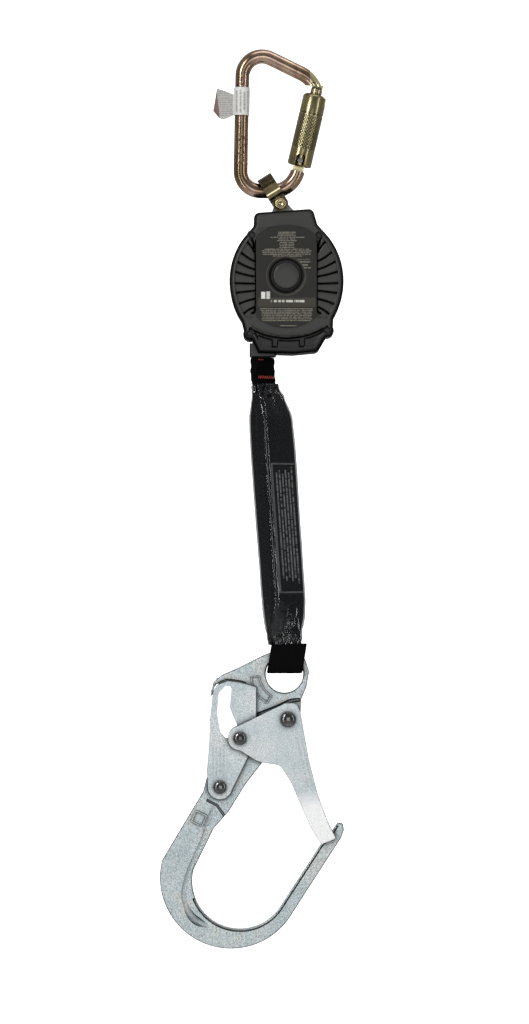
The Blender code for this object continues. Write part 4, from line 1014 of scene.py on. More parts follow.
def cover_mesh(split, shoulder, face, hole, relief):
    """One half of the housing: rounded shoulders, a face with relief, and a hollow inside."""
    way = 1 if face > split else -1
    outline = even(cover_outline(), COVER_COLUMNS)
    centre = np.array(DRUM)
    heading = outline / np.linalg.norm(outline, axis=1)[:, None]
    loop = [tuple(p) for p in outline]

    def ring(points, y):
        points = np.asarray(points) + centre
        return np.column_stack([points[:, 0], np.broadcast_to(y, len(points)), points[:, 1]])

    def shrunk(distance):
        small = np.array(inset(loop, distance))
        turns, reach = np.arctan2(small[:, 1], small[:, 0]), np.hypot(small[:, 0], small[:, 1])
        order = np.argsort(turns)
        wanted = np.arctan2(heading[:, 1], heading[:, 0])
        return heading * np.interp(wanted, turns[order], reach[order], period=2 * math.pi)[:, None]

    rings = [ring(outline * (1 - 0.0004 / 0.045), split), ring(outline, split + way * 0.0005)]
    rings += [ring(outline, split + (shoulder - split) * i / 4) for i in range(1, 5)]
    for i in range(1, 9):
        a = math.pi / 2 * i / 8
        rings.append(
            ring(shrunk(SHOULDER * (1 - math.cos(a))), shoulder + (face - shoulder) * math.sin(a))
        )
    crown = shrunk(SHOULDER)
    for i in range(1, FACE_RINGS + 1):
        points = crown + (heading * hole - crown) * i / FACE_RINGS
        rise = relief(points) * step(np.array([i]), 1, 4)[0]
        rings.append(ring(points, face + way * rise))
        if i < 3:
            rings[-1][:, 1] = face + way * rise * 0.6
    inner_face = face - way * 0.0026
    floor = outline * (1 - 0.0050 / 0.045)
    rings.append(ring(heading * hole, inner_face))
    rings.append(ring(floor, inner_face))
    rings.append(ring(outline * (1 - 0.0030 / 0.045), face - way * 0.0062))
    rings.append(ring(outline * (1 - 0.0030 / 0.045), split))
    return lofted(rings, True)


def screw_places():
    """Where the housing's four screws are."""
    return [(DRUM[0] + x, DRUM[1] + z) for x, z in SCREW_PLACES]


def cover_cutter(front):
    """The slot for the strap, the webbing exit and the screw holes."""
    (x, z), (out_x, out_z) = CLEVIS, EXIT
    if front:
        steps = 32
        hole = [(0.0026, -0.0240), (0.0026, -0.0262), (0.0033, -0.0275), (0.0033, -0.030)]
    else:
        steps = 36
        hole = [(0.0030, 0.0178), (0.0030, 0.0270), (0.0036, 0.0282)]
    return [
        box((x - 0.0085, -0.0095, z - 0.0125), (x + 0.0125, 0.0095, z + 0.020)),
        box((out_x - 0.0105, -0.0163, out_z - 0.010), (out_x + 0.0105, 0.0163, out_z + 0.0150)),
        *[spun(hole, place, steps) for place in screw_places()],
    ]


def socket_cup(place, face, way):
    """The moulded post that a screw or an insert sits in."""
    outer, inner = (0.0040, 0.0026) if way < 0 else (0.0040, 0.0031)
    deep = 0.014 if way < 0 else 0.0075
    profile = [
        (outer, face - way * 0.0024), (inner, face - way * 0.0024), (inner, face - way * deep),
        (outer, face - way * deep)
    ]
    return spun(profile, place, 28, True)


def label_outline(shrink=0.0):
    """The label's outline: straight sides, an arched head and a round foot."""
    head = arc((0.0002, -0.0010), 0.0395, 62, 118, 24)
    foot = arc((0.0, -0.0055), 0.0345, 228, 312, 24)
    outline = head + [(-0.0232, 0.0300), (-0.0232, -0.0290)]
    outline += foot + [(0.0234, -0.0290), (0.0234, 0.0300)]
    outline = rounded(
        [(x, z, 0.0015 if i in (0, 24, 25, 26, 27) else 0.0) for i, (x, z) in enumerate(outline)], 3
    )
    return moved(inset(outline, shrink) if shrink else outline, DRUM)


def label_mesh():
    """The printed label, with a hole round the boss."""
    edges = ((0.0, -0.0268), (0.0, -0.02705), (0.00015, -0.0272))
    rings = [[at(p, y) for p in label_outline(d)] for d, y in edges]
    return cut(lofted(rings), rod_y(DRUM, 0.0148, -0.030, -0.020, 96))


def cap_mesh():
    """The round cap over the drum shaft, softly domed with a rolled edge."""
    profile = [
        (0.0002, -0.0287), (0.0040, -0.02872), (0.0085, -0.0287), (0.0094, -0.0285),
        (0.0101, -0.0280), (0.0104, -0.0274), (0.0104, -0.0252), (0.0092, -0.0250),
        (0.0092, -0.0240), (0.0060, -0.0240),
    ]
    return spun(profile, DRUM, 96)


def nozzle_mesh():
    """The webbing's exit nozzle, with a rolled lip."""
    x, low = EXIT
    top = low + 0.0102
    levels = (
        (0.0098, 0.0156, low), (0.0102, 0.0160, low + 0.0004), (0.0102, 0.0160, top),
        (0.0086, 0.0136, top), (0.0086, 0.0136, low + 0.0006), (0.0090, 0.0140, low),
    )
    return lofted([
        [(x + px, py, z) for px, py in oblong(half_x, half_y, 0.002, 6)]
        for half_x, half_y, z in levels
    ], True)


def screw_mesh(place):
    """A pan-head screw with a star-shaped socket."""
    profile = [
        (0.0013, -0.0150), (0.0013, 0.0181), (0.0027, 0.0181), (0.0027, 0.0196), (0.0024, 0.0202),
        (0.0015, 0.0206)
    ]
    star = []
    for i in range(24):
        reach = 0.00115 if i % 4 in (0, 1) else 0.0008
        a = i * math.pi / 12
        star.append((place[0] + reach * math.cos(a), place[1] + reach * math.sin(a)))
    return cut(spun(profile, place, 36), plate(star, 0.0192, 0.022))


def insert_mesh(place):
    """A brass insert with a chamfered bore."""
    profile = [
        (0.0022, -0.0240), (0.0024, -0.0238), (0.0024, -0.0100), (0.0012, -0.0100),
        (0.0012, -0.0232), (0.0018, -0.0240)
    ]
    return spun(profile, place, 36, True)


def housing_pieces(look):
    """The two covers and what shows on them."""
    front, back = (-0.00015, -0.0190, COVER_FRONT, 0.0102), (0.00015, 0.0200, COVER_BACK, 0.0006)
    for name, node, facts, relief in (
        ("cover_front_shape", "front_cover", front, front_relief),
        ("cover_rear_shape", "rear_cover", back, rear_relief),
    ):
        shell = cut(cover_mesh(*facts, relief), *cover_cutter(node == "front_cover"))
        way = -1 if node == "front_cover" else 1
        posts = [socket_cup(place, facts[2], way) for place in screw_places()]
        piece(name, merged(shell, *posts), look["nylon"], "housing", [node], 0, 60)
    piece("label", label_mesh(), look["label"], "housing", ["front_label"])
    piece("shaft_cap", cap_mesh(), look["nylon_smooth"], "housing", ["centre_cap"])
    piece("nozzle", nozzle_mesh(), look["nylon_smooth"], "housing", ["exit_guide"])
    for number, place in enumerate(screw_places(), 1):
        piece(
            f"screw_{number}", screw_mesh(place), look["dark_steel"], "housing",
            [f"housing_screw_{number}"]
        )
        piece(
            f"insert_{number}", insert_mesh(place), look["brass"], "housing",
            [f"screw_insert_{number}"]
        )


# Webbing and shock pack

def flat_section(x, z, half_width, half_depth, twist, corner, steps=4):
    """A rounded bar section at a height, turned about Z."""
    section = oblong(half_width, half_depth, corner, steps)
    return [twisted(x, w, d, twist, z) for w, d in section]


def free_web():
    """The run of webbing from the drum to the sewn end, turning as it passes the exit."""
    stations = [(-0.0113, -0.1700, 1.5708), (-0.0036, -0.2100, 1.5708), (-0.0012, -0.2200, 1.361)]
    stations.append((EXIT[0] - 0.0002, -0.2264, TAIL_TWIST))
    rings = []
    for x, z, twist in smooth_path(stations, 30):
        rings.append(flat_section(x, z, 0.0115, 0.0007, twist, 0.0005, 3))
    return lofted(rings)


def tail_mesh():
    """The lifeline's sewn end: layers of webbing, narrower towards the pack."""
    rings = []
    rows, top, length = 40, -0.2267, 0.0208
    for i in range(rows):
        t = i / (rows - 1)
        z = top - length * t
        x = 0.0004 + 0.0010 * max(0.0, (t - 0.5) * 2) ** 1.5
        puff = 0.0034 - 0.0003 * math.cos(2 * math.pi * t * 3)
        puff = puff - 0.0006 * max(0.0, 1 - t / 0.06) - 0.0004 * t
        width = 0.0118 - 0.0003 * math.sin(7 * t)
        ring = []
        for p in even([q[:2] for q in flat_section(0, 0, width, puff, 0.0, 0.0010)], 72):
            at_edge = abs(p[0]) > width - 0.0022
            layer = 0.00022 * abs(math.sin(p[1] / puff * math.pi * 2)) if at_edge else 0.0
            ring.append(twisted(x, p[0] - math.copysign(layer, p[0]), p[1], TAIL_TWIST, z))
        rings.append(ring)
    return lofted(rings)


def even_section(half_width, half_depth, count, power):
    """A squarish oval section read at even steps."""
    loop = []
    for i in range(240):
        a = 2 * math.pi * i / 240
        c, s = [math.copysign(abs(v) ** (2 / power), v) for v in (math.cos(a), math.sin(a))]
        loop.append((half_width * c, half_depth * s))
    return even(loop, count)


def tail_face(across, z, lift):
    """A point on the front of the sewn end."""
    return Vector(twisted(0.0004, across, -(0.0032 + lift), TAIL_TWIST, z))


def stitch_mesh():
    """Red zigzag stitches across the sewn end."""
    bars = []
    pitch = 0.0200 / 15
    for z, count, tall in ((-0.2420, 15, 0.0024), (-0.2285, 5, 0.0006)):
        for i in range(count):
            left = -0.0100 + pitch * i
            right = left + pitch
            up = i % 2 == 0
            ends = [
                tail_face(left, z - tall / 2 if up else z + tall / 2, 0.0),
                tail_face(right, z + tall / 2 if up else z - tall / 2, 0.0)
            ]
            out = Vector((math.sin(TAIL_TWIST), -math.cos(TAIL_TWIST), 0))
            path = [
                ends[0] + (ends[1] - ends[0]) * k / 6 + out * 0.00030 * math.sin(math.pi * k / 6)
                for k in range(7)
            ]
            bars.append(swept(path, 0.00030, 8))
    return merged(*bars)


PACK_SECTIONS = (
    (-0.2466, 0.0020, 0.0130, 0.0045, 48),
    (-0.2570, 0.0045, 0.0140, 0.0070, 46),
    (-0.2720, 0.0066, 0.0160, 0.0105, 42),
    (-0.3000, 0.0086, 0.0163, 0.0112, 40),
    (-0.3500, 0.0121, 0.0161, 0.0109, 39),
    (-0.4135, 0.0166, 0.0158, 0.0106, 38),
    (-0.4270, 0.0170, 0.0150, 0.0098, 30),
    (-0.4360, 0.0168, 0.0138, 0.0088, 16),
    (-0.4482, 0.0178, 0.0134, 0.0090, 2),
)
PACK_TOP, PACK_BOTTOM = PACK_SECTIONS[0][0], PACK_SECTIONS[-1][0]
PACK_POWER = 6.5


def pack_station(z):
    """Centre x, half width, half depth and twist in radians of the pack at a height."""
    heights = [s[0] for s in PACK_SECTIONS][::-1]
    row = [np.interp(z, heights, [s[k] for s in PACK_SECTIONS][::-1]) for k in (1, 2, 3, 4)]
    return row[0], row[1], row[2], math.radians(row[3])


def pack_skin(shrink, top, bottom, rows, columns, creases):
    """A crowned skin round the pack, with creases that gather towards its ends."""
    rings = []
    stations = [pack_station(bottom + (top - bottom) * i / (rows - 1)) for i in range(rows)]
    kernel = np.array([1, 2, 3, 4, 3, 2, 1]) / 16
    padded = np.pad(np.array(stations), ((3, 3), (0, 0)), mode="edge")
    smooth = np.stack([np.convolve(padded[:, k], kernel, mode="valid") for k in range(4)], axis=1)
    for i in range(rows):
        z = bottom + (top - bottom) * i / (rows - 1)
        x, half_width, half_depth, twist = smooth[i]
        gather = math.exp(-abs(z - top) / 0.012) + math.exp(-abs(z - bottom) / 0.012) + 0.08
        section = even_section(half_width - shrink, half_depth - shrink, columns, PACK_POWER)
        rings.append([(*twisted(x, w, d, twist, z), gather) for w, d in section])
    rings = np.array(rings)
    points = rings[:, :, :3]
    middle = points.mean(axis=1, keepdims=True)
    out = points - middle
    out /= np.linalg.norm(out, axis=2, keepdims=True)
    depth = np.zeros(points.shape[:2])
    for i in range(rows):
        for k in range(columns):
            p = points[i, k]
            long_fold = noise.noise((p[0] * 260 + 3, p[1] * 260, p[2] * 26))
            cross = noise.noise((p[0] * 90, p[1] * 90 + 5, p[2] * 190))
            broad = noise.noise((p[0] * 40, p[1] * 40 + 9, p[2] * 45))
            amount = rings[i, k, 3]
            depth[i, k] = 0.0034 * amount * abs(long_fold) + 0.0018 * amount * abs(cross)
            depth[i, k] += 0.0003 * abs(broad)
    points = points - out * depth[:, :, None] * creases
    return lofted(points)


def pack_surface(across, z, depth):
    """A point in front of the pack's wide face, some depth inside it."""
    x, half_width, half_depth, twist = pack_station(z)
    crown = 1 - (1 - abs(across / half_width) ** PACK_POWER) ** (1 / PACK_POWER)
    return twisted(x, across, depth - half_depth * (1 - crown), twist, z)


def pack_label_mesh():
    """The long label under the film, gently bowed."""
    rows = []
    for i in range(41):
        z = -0.4080 + 0.1000 * i / 40
        row = []
        for depth in (0.00055, 0.00085):
            columns = range(17) if depth == 0.00055 else range(16, -1, -1)
            for k in columns:
                across = -0.0118 + 0.0236 * k / 16
                wave = 0.00008 * math.sin(z * 420 + across * 300)
                row.append(pack_surface(across, z, depth + wave))
        rows.append(row)
    return lofted(rows)


def loop_mesh():
    """The lower loop of webbing, through the hook's eye."""
    centre_x, centre_z = HOOK_EYE
    foot, top, waist = centre_z + 0.0006, -0.4472, centre_z + 0.0130
    upper = smooth_path(
        [(0.0087, top), (0.0106, (top + waist) / 2 + 0.001), (0.0118, waist)], 6
    )[:-1]
    outer = upper + smooth_path([
        (0.0118, waist), (0.0119, foot + 0.0060), (0.0105, foot + 0.0016), (0.0078, foot + 0.0001),
        (0.0040, foot),
    ], 6)
    inner = [(y - 0.0024, z) for y, z in upper]
    inner += smooth_path([
        (0.0095, waist), (0.0095, foot + 0.0055), (0.0088, foot + 0.0030), (0.0070, foot + 0.0025),
        (0.0036, foot + 0.0024),
    ], 6)
    outer = [tuple(p) for p in outer]
    inner = [tuple(p) for p in inner]
    outline = outer + [(-y, z) for y, z in outer[::-1]] + [(-y, z) for y, z in inner] + inner[::-1]
    rings = []
    half, count = 0.0136, len(outer)
    for i in range(25):
        x = -half + 2 * half * i / 24
        edge = 0.0006 * step(np.array([abs(x)]), half - 0.0012, half)[0]
        ring = []
        for k, (y, z) in enumerate(outline):
            outside = k < 2 * count
            squeeze = edge if outside else -edge
            wave = 0.00012 * math.sin(x * 700 + z * 300)
            depth = y - math.copysign(squeeze + wave, y)
            height = z + (squeeze if z < foot + 0.003 else 0)
            ring.append((centre_x + x + 0.16 * (z - foot), depth, height))
        rings.append(ring)
    return lofted(rings)


def webbing_pieces(look):
    """The webbing, its stitching, and the shock pack in its clear cover."""
    strip = piece(
        "free_webbing", free_web(), look["webbing"], None, ["lifeline_web"]
    )
    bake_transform(strip)
    piece("sewn_end", tail_mesh(), look["webbing"], "lifeline", ["web_tail"])
    piece("red_stitching", stitch_mesh(), look["red_thread"], "lifeline")
    inner = pack_skin(0.0010, PACK_TOP - 0.0003, PACK_BOTTOM + 0.0002, 150, 120, 0.65)
    piece(
        "folded_webbing", inner, look["webbing"], "lifeline", ["energy_absorber"]
    )
    film = piece(
        "pack_film", pack_skin(0.0, PACK_TOP, PACK_BOTTOM, 300, 200, 1.0), look["film"], "lifeline",
        ["clear_cover"], 0, 70
    )
    piece(
        "pack_print", pack_label_mesh(), look["pack_label"], "lifeline",
        ["pack_label"]
    )
    piece(
        "hook_webbing_loop", loop_mesh(), look["webbing"], "lifeline", ["web_loop"]
    )


# Rebar hook, drawn about the centre of its eye

def hook_place(point):
    """A point of the hook's frame in the XZ plane of the world."""
    return (HOOK_EYE[0] + point[0], HOOK_EYE[1] + point[1])


def hook_places(points):
    """Points of the hook's frame in the XZ plane of the world."""
    return [hook_place(p) for p in points]


def hook_plate(outline, front, back):
    """A plate drawn in the hook's frame."""
    return plate(hook_places(outline), front, back)


def hook_bore(place, radius, depth=0.010):
    """A cutter for a bore right through, at a place of the hook's frame."""
    return rod_y(hook_place(place), radius, -depth, depth)


def hook_groove(path, depth, radii, sides):
    """A cutter that follows a path on one face of the hook."""
    return swept([at(p, depth) for p in hook_places(path)], radii, sides)


def hook_outline():
    """The forging: eye, hood over the lever, neck, back, bow and nose arm."""
    corners = [(0.0127, -0.0200, 0.004), (0.0170, -0.0095, 0.004), (0.0190, 0.0020, 0.006)]
    corners += sharp(arc((0, 0), 0.0196, 35, 118, 20))
    corners += [(-0.0173, 0.0139, 0.010), (-0.0343, 0.0054, 0.010), (-0.0481, -0.0008, 0.006)]
    corners += [(-0.0548, -0.0062, 0.004), (-0.0567, -0.0170, 0.0), (-0.0560, -0.0168, 0.0)]
    corners += [(-0.0552, -0.0115, 0.002), (-0.0518, -0.0072, 0.003)]
    corners += sharp(arc(LEVER_PIVOT, 0.0829, 86.5, 76.5, 6))
    corners += [(-0.0302, -0.0100, 0.0), (-0.0302, -0.0560, 0.004), (-0.0500, -0.0690, 0.004)]
    corners += [(-0.0600, -0.0800, 0.003), (-0.0628, -0.0909, 0.0), (-0.0758, -0.1124, 0.020)]
    corners += sharp(arc((-0.0412, -0.1567), 0.0547, 166, 331, 64))
    corners += [(0.0435, -0.1263, 0.0), (0.0458, -0.1201, 0.002), (0.0450, -0.1145, 0.002)]
    corners += [(0.0405, -0.1150, 0.002), (0.0362, -0.1215, 0.003), (0.0281, -0.1309, 0.002)]
    corners += sharp(arc(BOW_CENTRE, 0.0368, -33, -194, 52))
    corners += [(-0.0543, -0.1186, 0.010), (-0.0427, -0.1055, 0.006), (-0.0304, -0.0855, 0.0)]
    corners += [(-0.0173, -0.0685, 0.0), (-0.0112, -0.0585, 0.006), (-0.0004, -0.0470, 0.006)]
    return rounded(corners + [(0.0120, -0.0400, 0.006), (0.0125, -0.0293, 0.0)], 5)


def hook_forging():
    """The forged hook with its flared eye, two bores and a seat for each rivet's head."""
    body = soft_plate(hook_places(hook_outline()), -HOOK_FACE, HOOK_FACE, 0.0011)
    holes = [flared_hole(HOOK_EYE, 0.0144, HOOK_FACE, 0.0014, 96)]
    holes += [hook_bore(GATE_PIVOT, GATE_BORE), hook_bore(LEVER_PIVOT, LEVER_BORE)]
    holes += [
        rod_y(hook_place(place), 0.0066, -0.010, -0.0020) for place in (GATE_PIVOT, LEVER_PIVOT)
    ]
    return cut(body, *holes, *hook_reliefs())


def hook_reliefs():
    """Cutters on front and back: a channel, a cove, scribed lines, a shadow and a seam."""
    channel = smooth_path([
        (-0.0545, -0.1010), (-0.0583, -0.1124), (-0.0631, -0.1278), (-0.0708, -0.1451),
        (-0.0775, -0.1663), (-0.0755, -0.1790), (-0.0700, -0.1880), (-0.0590, -0.1945),
    ], 8)
    share = np.linspace(0, 1, len(channel))
    radii = np.interp(share, [0, 0.15, 0.7, 0.9, 1], [0.0030, 0.0034, 0.0040, 0.0042, 0.0034])
    depths = np.interp(share, [0, 0.1, 0.7, 0.9, 1], [0.0002, 0.0007, 0.0007, 0.0017, 0.0002])
    cove = arc(BOW_CENTRE, 0.0368, 200, 326, 44)
    cove += [(0.0270, -0.1322), (0.0281, -0.1309), (0.0362, -0.1215), (0.0398, -0.1158)]
    scribe = [(-0.0070, -0.2080), (-0.0040, -0.1995), (0.0180, -0.1930)]
    tick = [(0.0338, -0.1420), (0.0368, -0.1372), (0.0390, -0.1385)]
    shadow = smooth_path(
        [(-0.0225, -0.0318), (-0.0050, -0.0250), (0.0045, -0.0206), (0.0122, -0.0198)], 5
    )
    seam = [(-0.0600, -0.0968), (-0.0520, -0.1010), (-0.0452, -0.1105)]
    grooves = (
        (cove, 0.0023, 20), (scribe, 0.00045, 6), (tick, 0.00045, 6), (shadow, 0.0016, 14),
        (seam, 0.0011, 10),
    )
    tools = []
    for way in (-1, 1):
        face = way * HOOK_FACE
        path = [at(hook_place(p), face + way * (r - d)) for p, r, d in zip(channel, radii, depths)]
        tools.append(swept(path, radii, 28))
        tools += [hook_groove(line, face, radius, sides) for line, radius, sides in grooves]
    return tools


def raised_pads():
    """A rounded square on the back arm and an arc by the eye, each with its sunk middle."""
    turn, middle = math.radians(-24), (-0.0658, -0.1112)
    cos, sin = math.cos(turn), math.sin(turn)
    square = oblong(0.0050, 0.0050, 0.0012, 4)
    tilted = [
        [(middle[0] + x * cos - z * sin, middle[1] + x * sin + z * cos) for x, z in shape]
        for shape in (square, inset(square, 0.0009))
    ]
    plaque = arc((0, 0), 0.0262, 184, 240, 16) + arc((0, 0), 0.0190, 240, 184, 16)
    return [tuple(tilted), (plaque, inset(plaque, 0.0007))]


def gate_outline():
    """One side plate of the hook's gate."""
    end = sharp(arc(GATE_PIN, 0.0093, 115, 270, 24))
    arm = [
        (-0.0200, -0.0675, 0.020), (-0.0035, -0.0700, 0.006), (0.0050, -0.0832, 0.0),
        (0.0135, -0.1032, 0.0), (0.0212, -0.1201, 0.0), (0.0281, -0.1309, 0.0015),
        (0.0397, -0.1263, 0.0015), (0.0335, -0.1140, 0.0), (0.0258, -0.0932, 0.0),
        (0.0189, -0.0662, 0.0), (0.0125, -0.0300, 0.006), (0.0095, -0.0218, 0.005),
        (0.0004, -0.0223, 0.004),
    ]
    return rounded(end + arm, 6)


def hook_gate_mesh():
    """The gate: a plate at each side of the forging, folded from one sheet along the outer edge."""
    outline = hook_places(gate_outline())
    gate = merged(
        soft_plate(outline, -0.0092, -0.0074, 0.0006), soft_plate(outline, 0.0074, 0.0092, 0.0006)
    )
    outer = [(0.0151, -0.0450), (0.0189, -0.0662), (0.0258, -0.0932), (0.0307, -0.1065)]
    inner = [(0.0289, -0.1065), (0.0240, -0.0932), (0.0171, -0.0662), (0.0133, -0.0450)]
    gate = cut(gate, hook_plate(outer + inner, -0.0084, 0.0084), operation="UNION")
    return cut(gate, hook_bore(GATE_PIVOT, GATE_BORE, 0.012), hook_bore(GATE_PIN, PIN_BORE, 0.012))


def lever_outline():
    """One side plate of the lock lever."""
    top = sharp(arc(LEVER_PIVOT, 0.0820, 70, 86, 12))
    left = [
        (-0.0520, -0.0085, 0.003), (-0.0551, -0.0139, 0.004), (-0.0574, -0.0354, 0.0),
        (-0.0581, -0.0547, 0.0), (-0.0597, -0.0739, 0.0),
    ]
    foot = sharp(arc(LEVER_PIVOT, 0.0094, 178, 345, 26))
    return rounded(top + left + foot + [(-0.0281, -0.0639, 0.004), (-0.0216, -0.0480, 0.006)], 6)


def turned(point, centre, angle):
    """A point turned clockwise, as the front view shows it, about a centre."""
    x, z = point[0] - centre[0], point[1] - centre[1]
    return (
        centre[0] + x * math.cos(angle) + z * math.sin(angle),
        centre[1] - x * math.sin(angle) + z * math.cos(angle)
    )


def pin_slot():
    """The lever's slot along the way the gate's pin takes in it."""
    track = []
    for i in range(9):
        pin = turned(GATE_PIN, GATE_PIVOT, GATE_OPEN * i / 8)
        track.append(Vector(turned(pin, LEVER_PIVOT, -LEVER_SQUEEZE * i / 8)))
    sides = []
    for line in (track, track[::-1]):
        for i, point in enumerate(line):
            ahead = line[min(i + 1, len(line) - 1)] - line[max(i - 1, 0)]
            sides.append(tuple(point + Vector((ahead.y, -ahead.x)).normalized() * SLOT_HALF_WIDTH))
        heading = line[-1] - line[-2]
        angle = math.degrees(math.atan2(heading.y, heading.x))
        sides += arc(line[-1], SLOT_HALF_WIDTH, angle - 90, angle + 90, 12)[1:-1]
    return sides


def lever_mesh():
    """The squeeze lever: two slotted plates folded from one sheet along the outer edge."""
    outline = hook_places(lever_outline())
    lever = merged(
        soft_plate(outline, -0.0070, -0.0053, 0.0006), soft_plate(outline, 0.0053, 0.0070, 0.0006)
    )
    outer = [(-0.0557, -0.0200), (-0.0574, -0.0354), (-0.0581, -0.0547), (-0.0590, -0.0660)]
    inner = [(-0.0572, -0.0660), (-0.0563, -0.0547), (-0.0556, -0.0354), (-0.0539, -0.0200)]
    lever = cut(lever, hook_plate(outer + inner, -0.0062, 0.0062), operation="UNION")
    slot = [
        (-0.0450, -0.0085, 0.003), (-0.0508, -0.0150, 0.006), (-0.0520, -0.0310, 0.010),
        (-0.0495, -0.0450, 0.006), (-0.0440, -0.0515, 0.002), (-0.0405, -0.0430, 0.004),
        (-0.0425, -0.0300, 0.010), (-0.0408, -0.0100, 0.002),
    ]
    slot = cut(
        hook_plate(rounded(slot, 6), -0.010, 0.010), hook_plate(pin_slot(), -0.0101, 0.0101),
        operation="UNION"
    )
    return cut(lever, slot, hook_bore(LEVER_PIVOT, LEVER_BORE, 0.012))


def rivet_mesh(centre, shank, head, under):
    """A rivet with a polished dome at each side and a fine rim."""
    half = [
        (head * math.sin(a), under + 0.0006 + 0.42 * head * math.cos(a))
        for a in np.linspace(0.04, math.pi / 2, 14)
    ]
    half += [(head, under), (shank, under)]
    return spun([(r, -h) for r, h in half] + half[::-1], hook_place(centre), 48)


def hook_pieces(look):
    """The forging, its gate, its lever and their rivets."""
    forging = hook_forging()
    pads = [
        soft_plate(hook_places(shape), -PAD_FACE, PAD_FACE, 0.0005, 2) for shape, _ in raised_pads()
    ]
    lip = arc(LEVER_PIVOT, 0.0838, 71, 92, 20) + arc(LEVER_PIVOT, 0.0795, 92, 71, 20)
    forging = cut(forging, *pads, hook_plate(lip, -0.0042, 0.0042), operation="UNION")
    sunk = []
    for _, hollow in raised_pads():
        sunk += [hook_plate(hollow, -0.0060, -HOOK_FACE), hook_plate(hollow, HOOK_FACE, 0.0060)]
    forging = cut(forging, *sunk)
    piece("forging", forging, look["zinc"], "hook", ["hook_body"], flat=True)
    piece(
        "gate_plates", hook_gate_mesh(), look["zinc_plate"], "hook_gate",
        ["hook_gate"], flat=True
    )
    piece(
        "lever_plates", lever_mesh(), look["zinc_plate"], "hook_lever",
        ["lock_lever"], flat=True
    )
    for name, node, centre, shank, head, under, body in (
        ("gate_rivet", "hook_gate_rivet", GATE_PIVOT, 0.0032, 0.0058, 0.0095, "hook"),
        ("gate_lock_pin", "hook_gate_pin", GATE_PIN, 0.0024, 0.0050, 0.0095, "hook_gate"),
        ("lever_pivot_rivet", "lever_rivet", LEVER_PIVOT, 0.0028, 0.0049, 0.0073, "hook"),
    ):
        piece(
            name, rivet_mesh(centre, shank, head, under), look["polished_dark"], body,
            [node]
        )


# Finishes of this object

def housing_label_marks(make):
    """Rows above the boss, a small block beside it and a filled block of rows below."""
    x, _, z = make.axes()
    cx, cz = DRUM
    across = make.minus(x, cx)
    along = make.minus(z, cz)
    blocks = (
        ((-0.0090, 0.0100, 0.0300, 0.0339), 0.00130, 0.55),
        ((-0.0125, 0.0145, 0.0286, 0.0299), 0.00130, 0.1),
        ((-0.0075, 0.0085, 0.0208, 0.0286), 0.00130, 0.50),
        ((-0.0195, 0.0205, 0.0156, 0.0208), 0.00130, 0.30),
        ((-0.0110, 0.0130, 0.0143, 0.0156), 0.00130, 0.2),
        ((0.0080, 0.0190, 0.0056, 0.0126), 0.00233, 0.45),
        ((-0.0200, 0.0208, -0.0351, -0.0247), 0.00130, 0.10),
        ((-0.0050, 0.0080, -0.0390, -0.0377), 0.00130, 0.2),
    )
    total = 0.0
    for index, (box, pitch, ragged) in enumerate(blocks):
        rows = make.print_lines(across, along, box, pitch, 0.0010, ragged, 1.0 + index)
        total = make.most(total, rows)
    return make.times(total, 0.50)


def housing_label():
    """The housing's label: dark film, fine rows, a brownish bar and a pale two-part mark."""
    make = Shader("housing_label")
    x, _, z = make.axes()
    across = make.minus(x, DRUM[0])
    along = make.minus(z, DRUM[1])
    fine = make.noise(1800.0, 3.0)
    base = make.mix(housing_label_marks(make), (0.014, 0.0135, 0.0115), (0.46, 0.42, 0.33))
    bar = make.window(across, along, (-0.0215, 0.0225, -0.0240, -0.0169))
    base = make.mix(make.times(bar, 0.55), base, (0.070, 0.060, 0.042))
    strokes = make.print_lines(
        across, along, (-0.0117, 0.0140, -0.0213, -0.0177), 0.00355, 0.0019, 0.0, 9.0
    )
    base = make.mix(make.times(strokes, 0.9), base, (0.70, 0.68, 0.62))
    left = make.window(across, along, (-0.0191, -0.0160, -0.0177, -0.0125))
    right = make.window(across, along, (-0.0152, -0.0124, -0.0179, -0.0122))
    base = make.mix(make.most(left, make.times(right, 0.75)), base, (0.78, 0.77, 0.73))
    reach = make.math("SQRT", make.times_plus(across, across, make.times(along, along)))
    ring = make.span(reach, 0.0148, 0.0153, 0.0001)
    base = make.mix(make.times(ring, 0.35), base, (0.20, 0.18, 0.13))
    make.set(
        Base_Color=base, Roughness=make.times_plus(fine, 0.2, 0.36),
        Normal=make.bump(fine, 0.15, 0.00004)
    )
    make.set(Specular_IOR_Level=make.frontal(0.35))
    return make.material


def pack_label_material():
    """The pack's label: lengthwise rows, a bar block and a pale frame."""
    make = Shader("pack_label_print")
    x, _, z = make.axes()
    middle = make.times_plus(make.minus(z, -0.3000), -0.0705, 0.0086)
    shift = make.minus(x, middle)
    across = make.times_plus(make.minus(shift, 0.0072), 1.28, 0.0)
    rows = make.print_lines(
        z, across, (-0.4010, -0.3110, -0.0090, 0.0090), 0.00300, 0.0021, 0.12, 6.0
    )
    bars = make.times(
        make.window(z, across, (-0.2960, -0.2700, -0.0050, 0.0085)),
        make.span(make.noise(1.0, 2.0, make.stretch((0.001, 0.001, 1500.0))), 0.48, 1.0, 0.02)
    )
    share = make.most(make.times(rows, 0.95), make.times(bars, 0.8))
    edge = make.minus(1.0, make.window(z, across, (-0.4068, -0.3092, -0.0108, 0.0108), 0.0001))
    share = make.most(share, make.times(edge, 0.50))
    make.set(
        Base_Color=make.mix(share, (0.003, 0.003, 0.004), (0.95, 0.96, 0.97)), Roughness=0.42,
        Specular_IOR_Level=0.15
    )
    make.set(Normal=make.bump(make.noise(900.0, 3.0), 0.2, 0.00005))
    return make.material


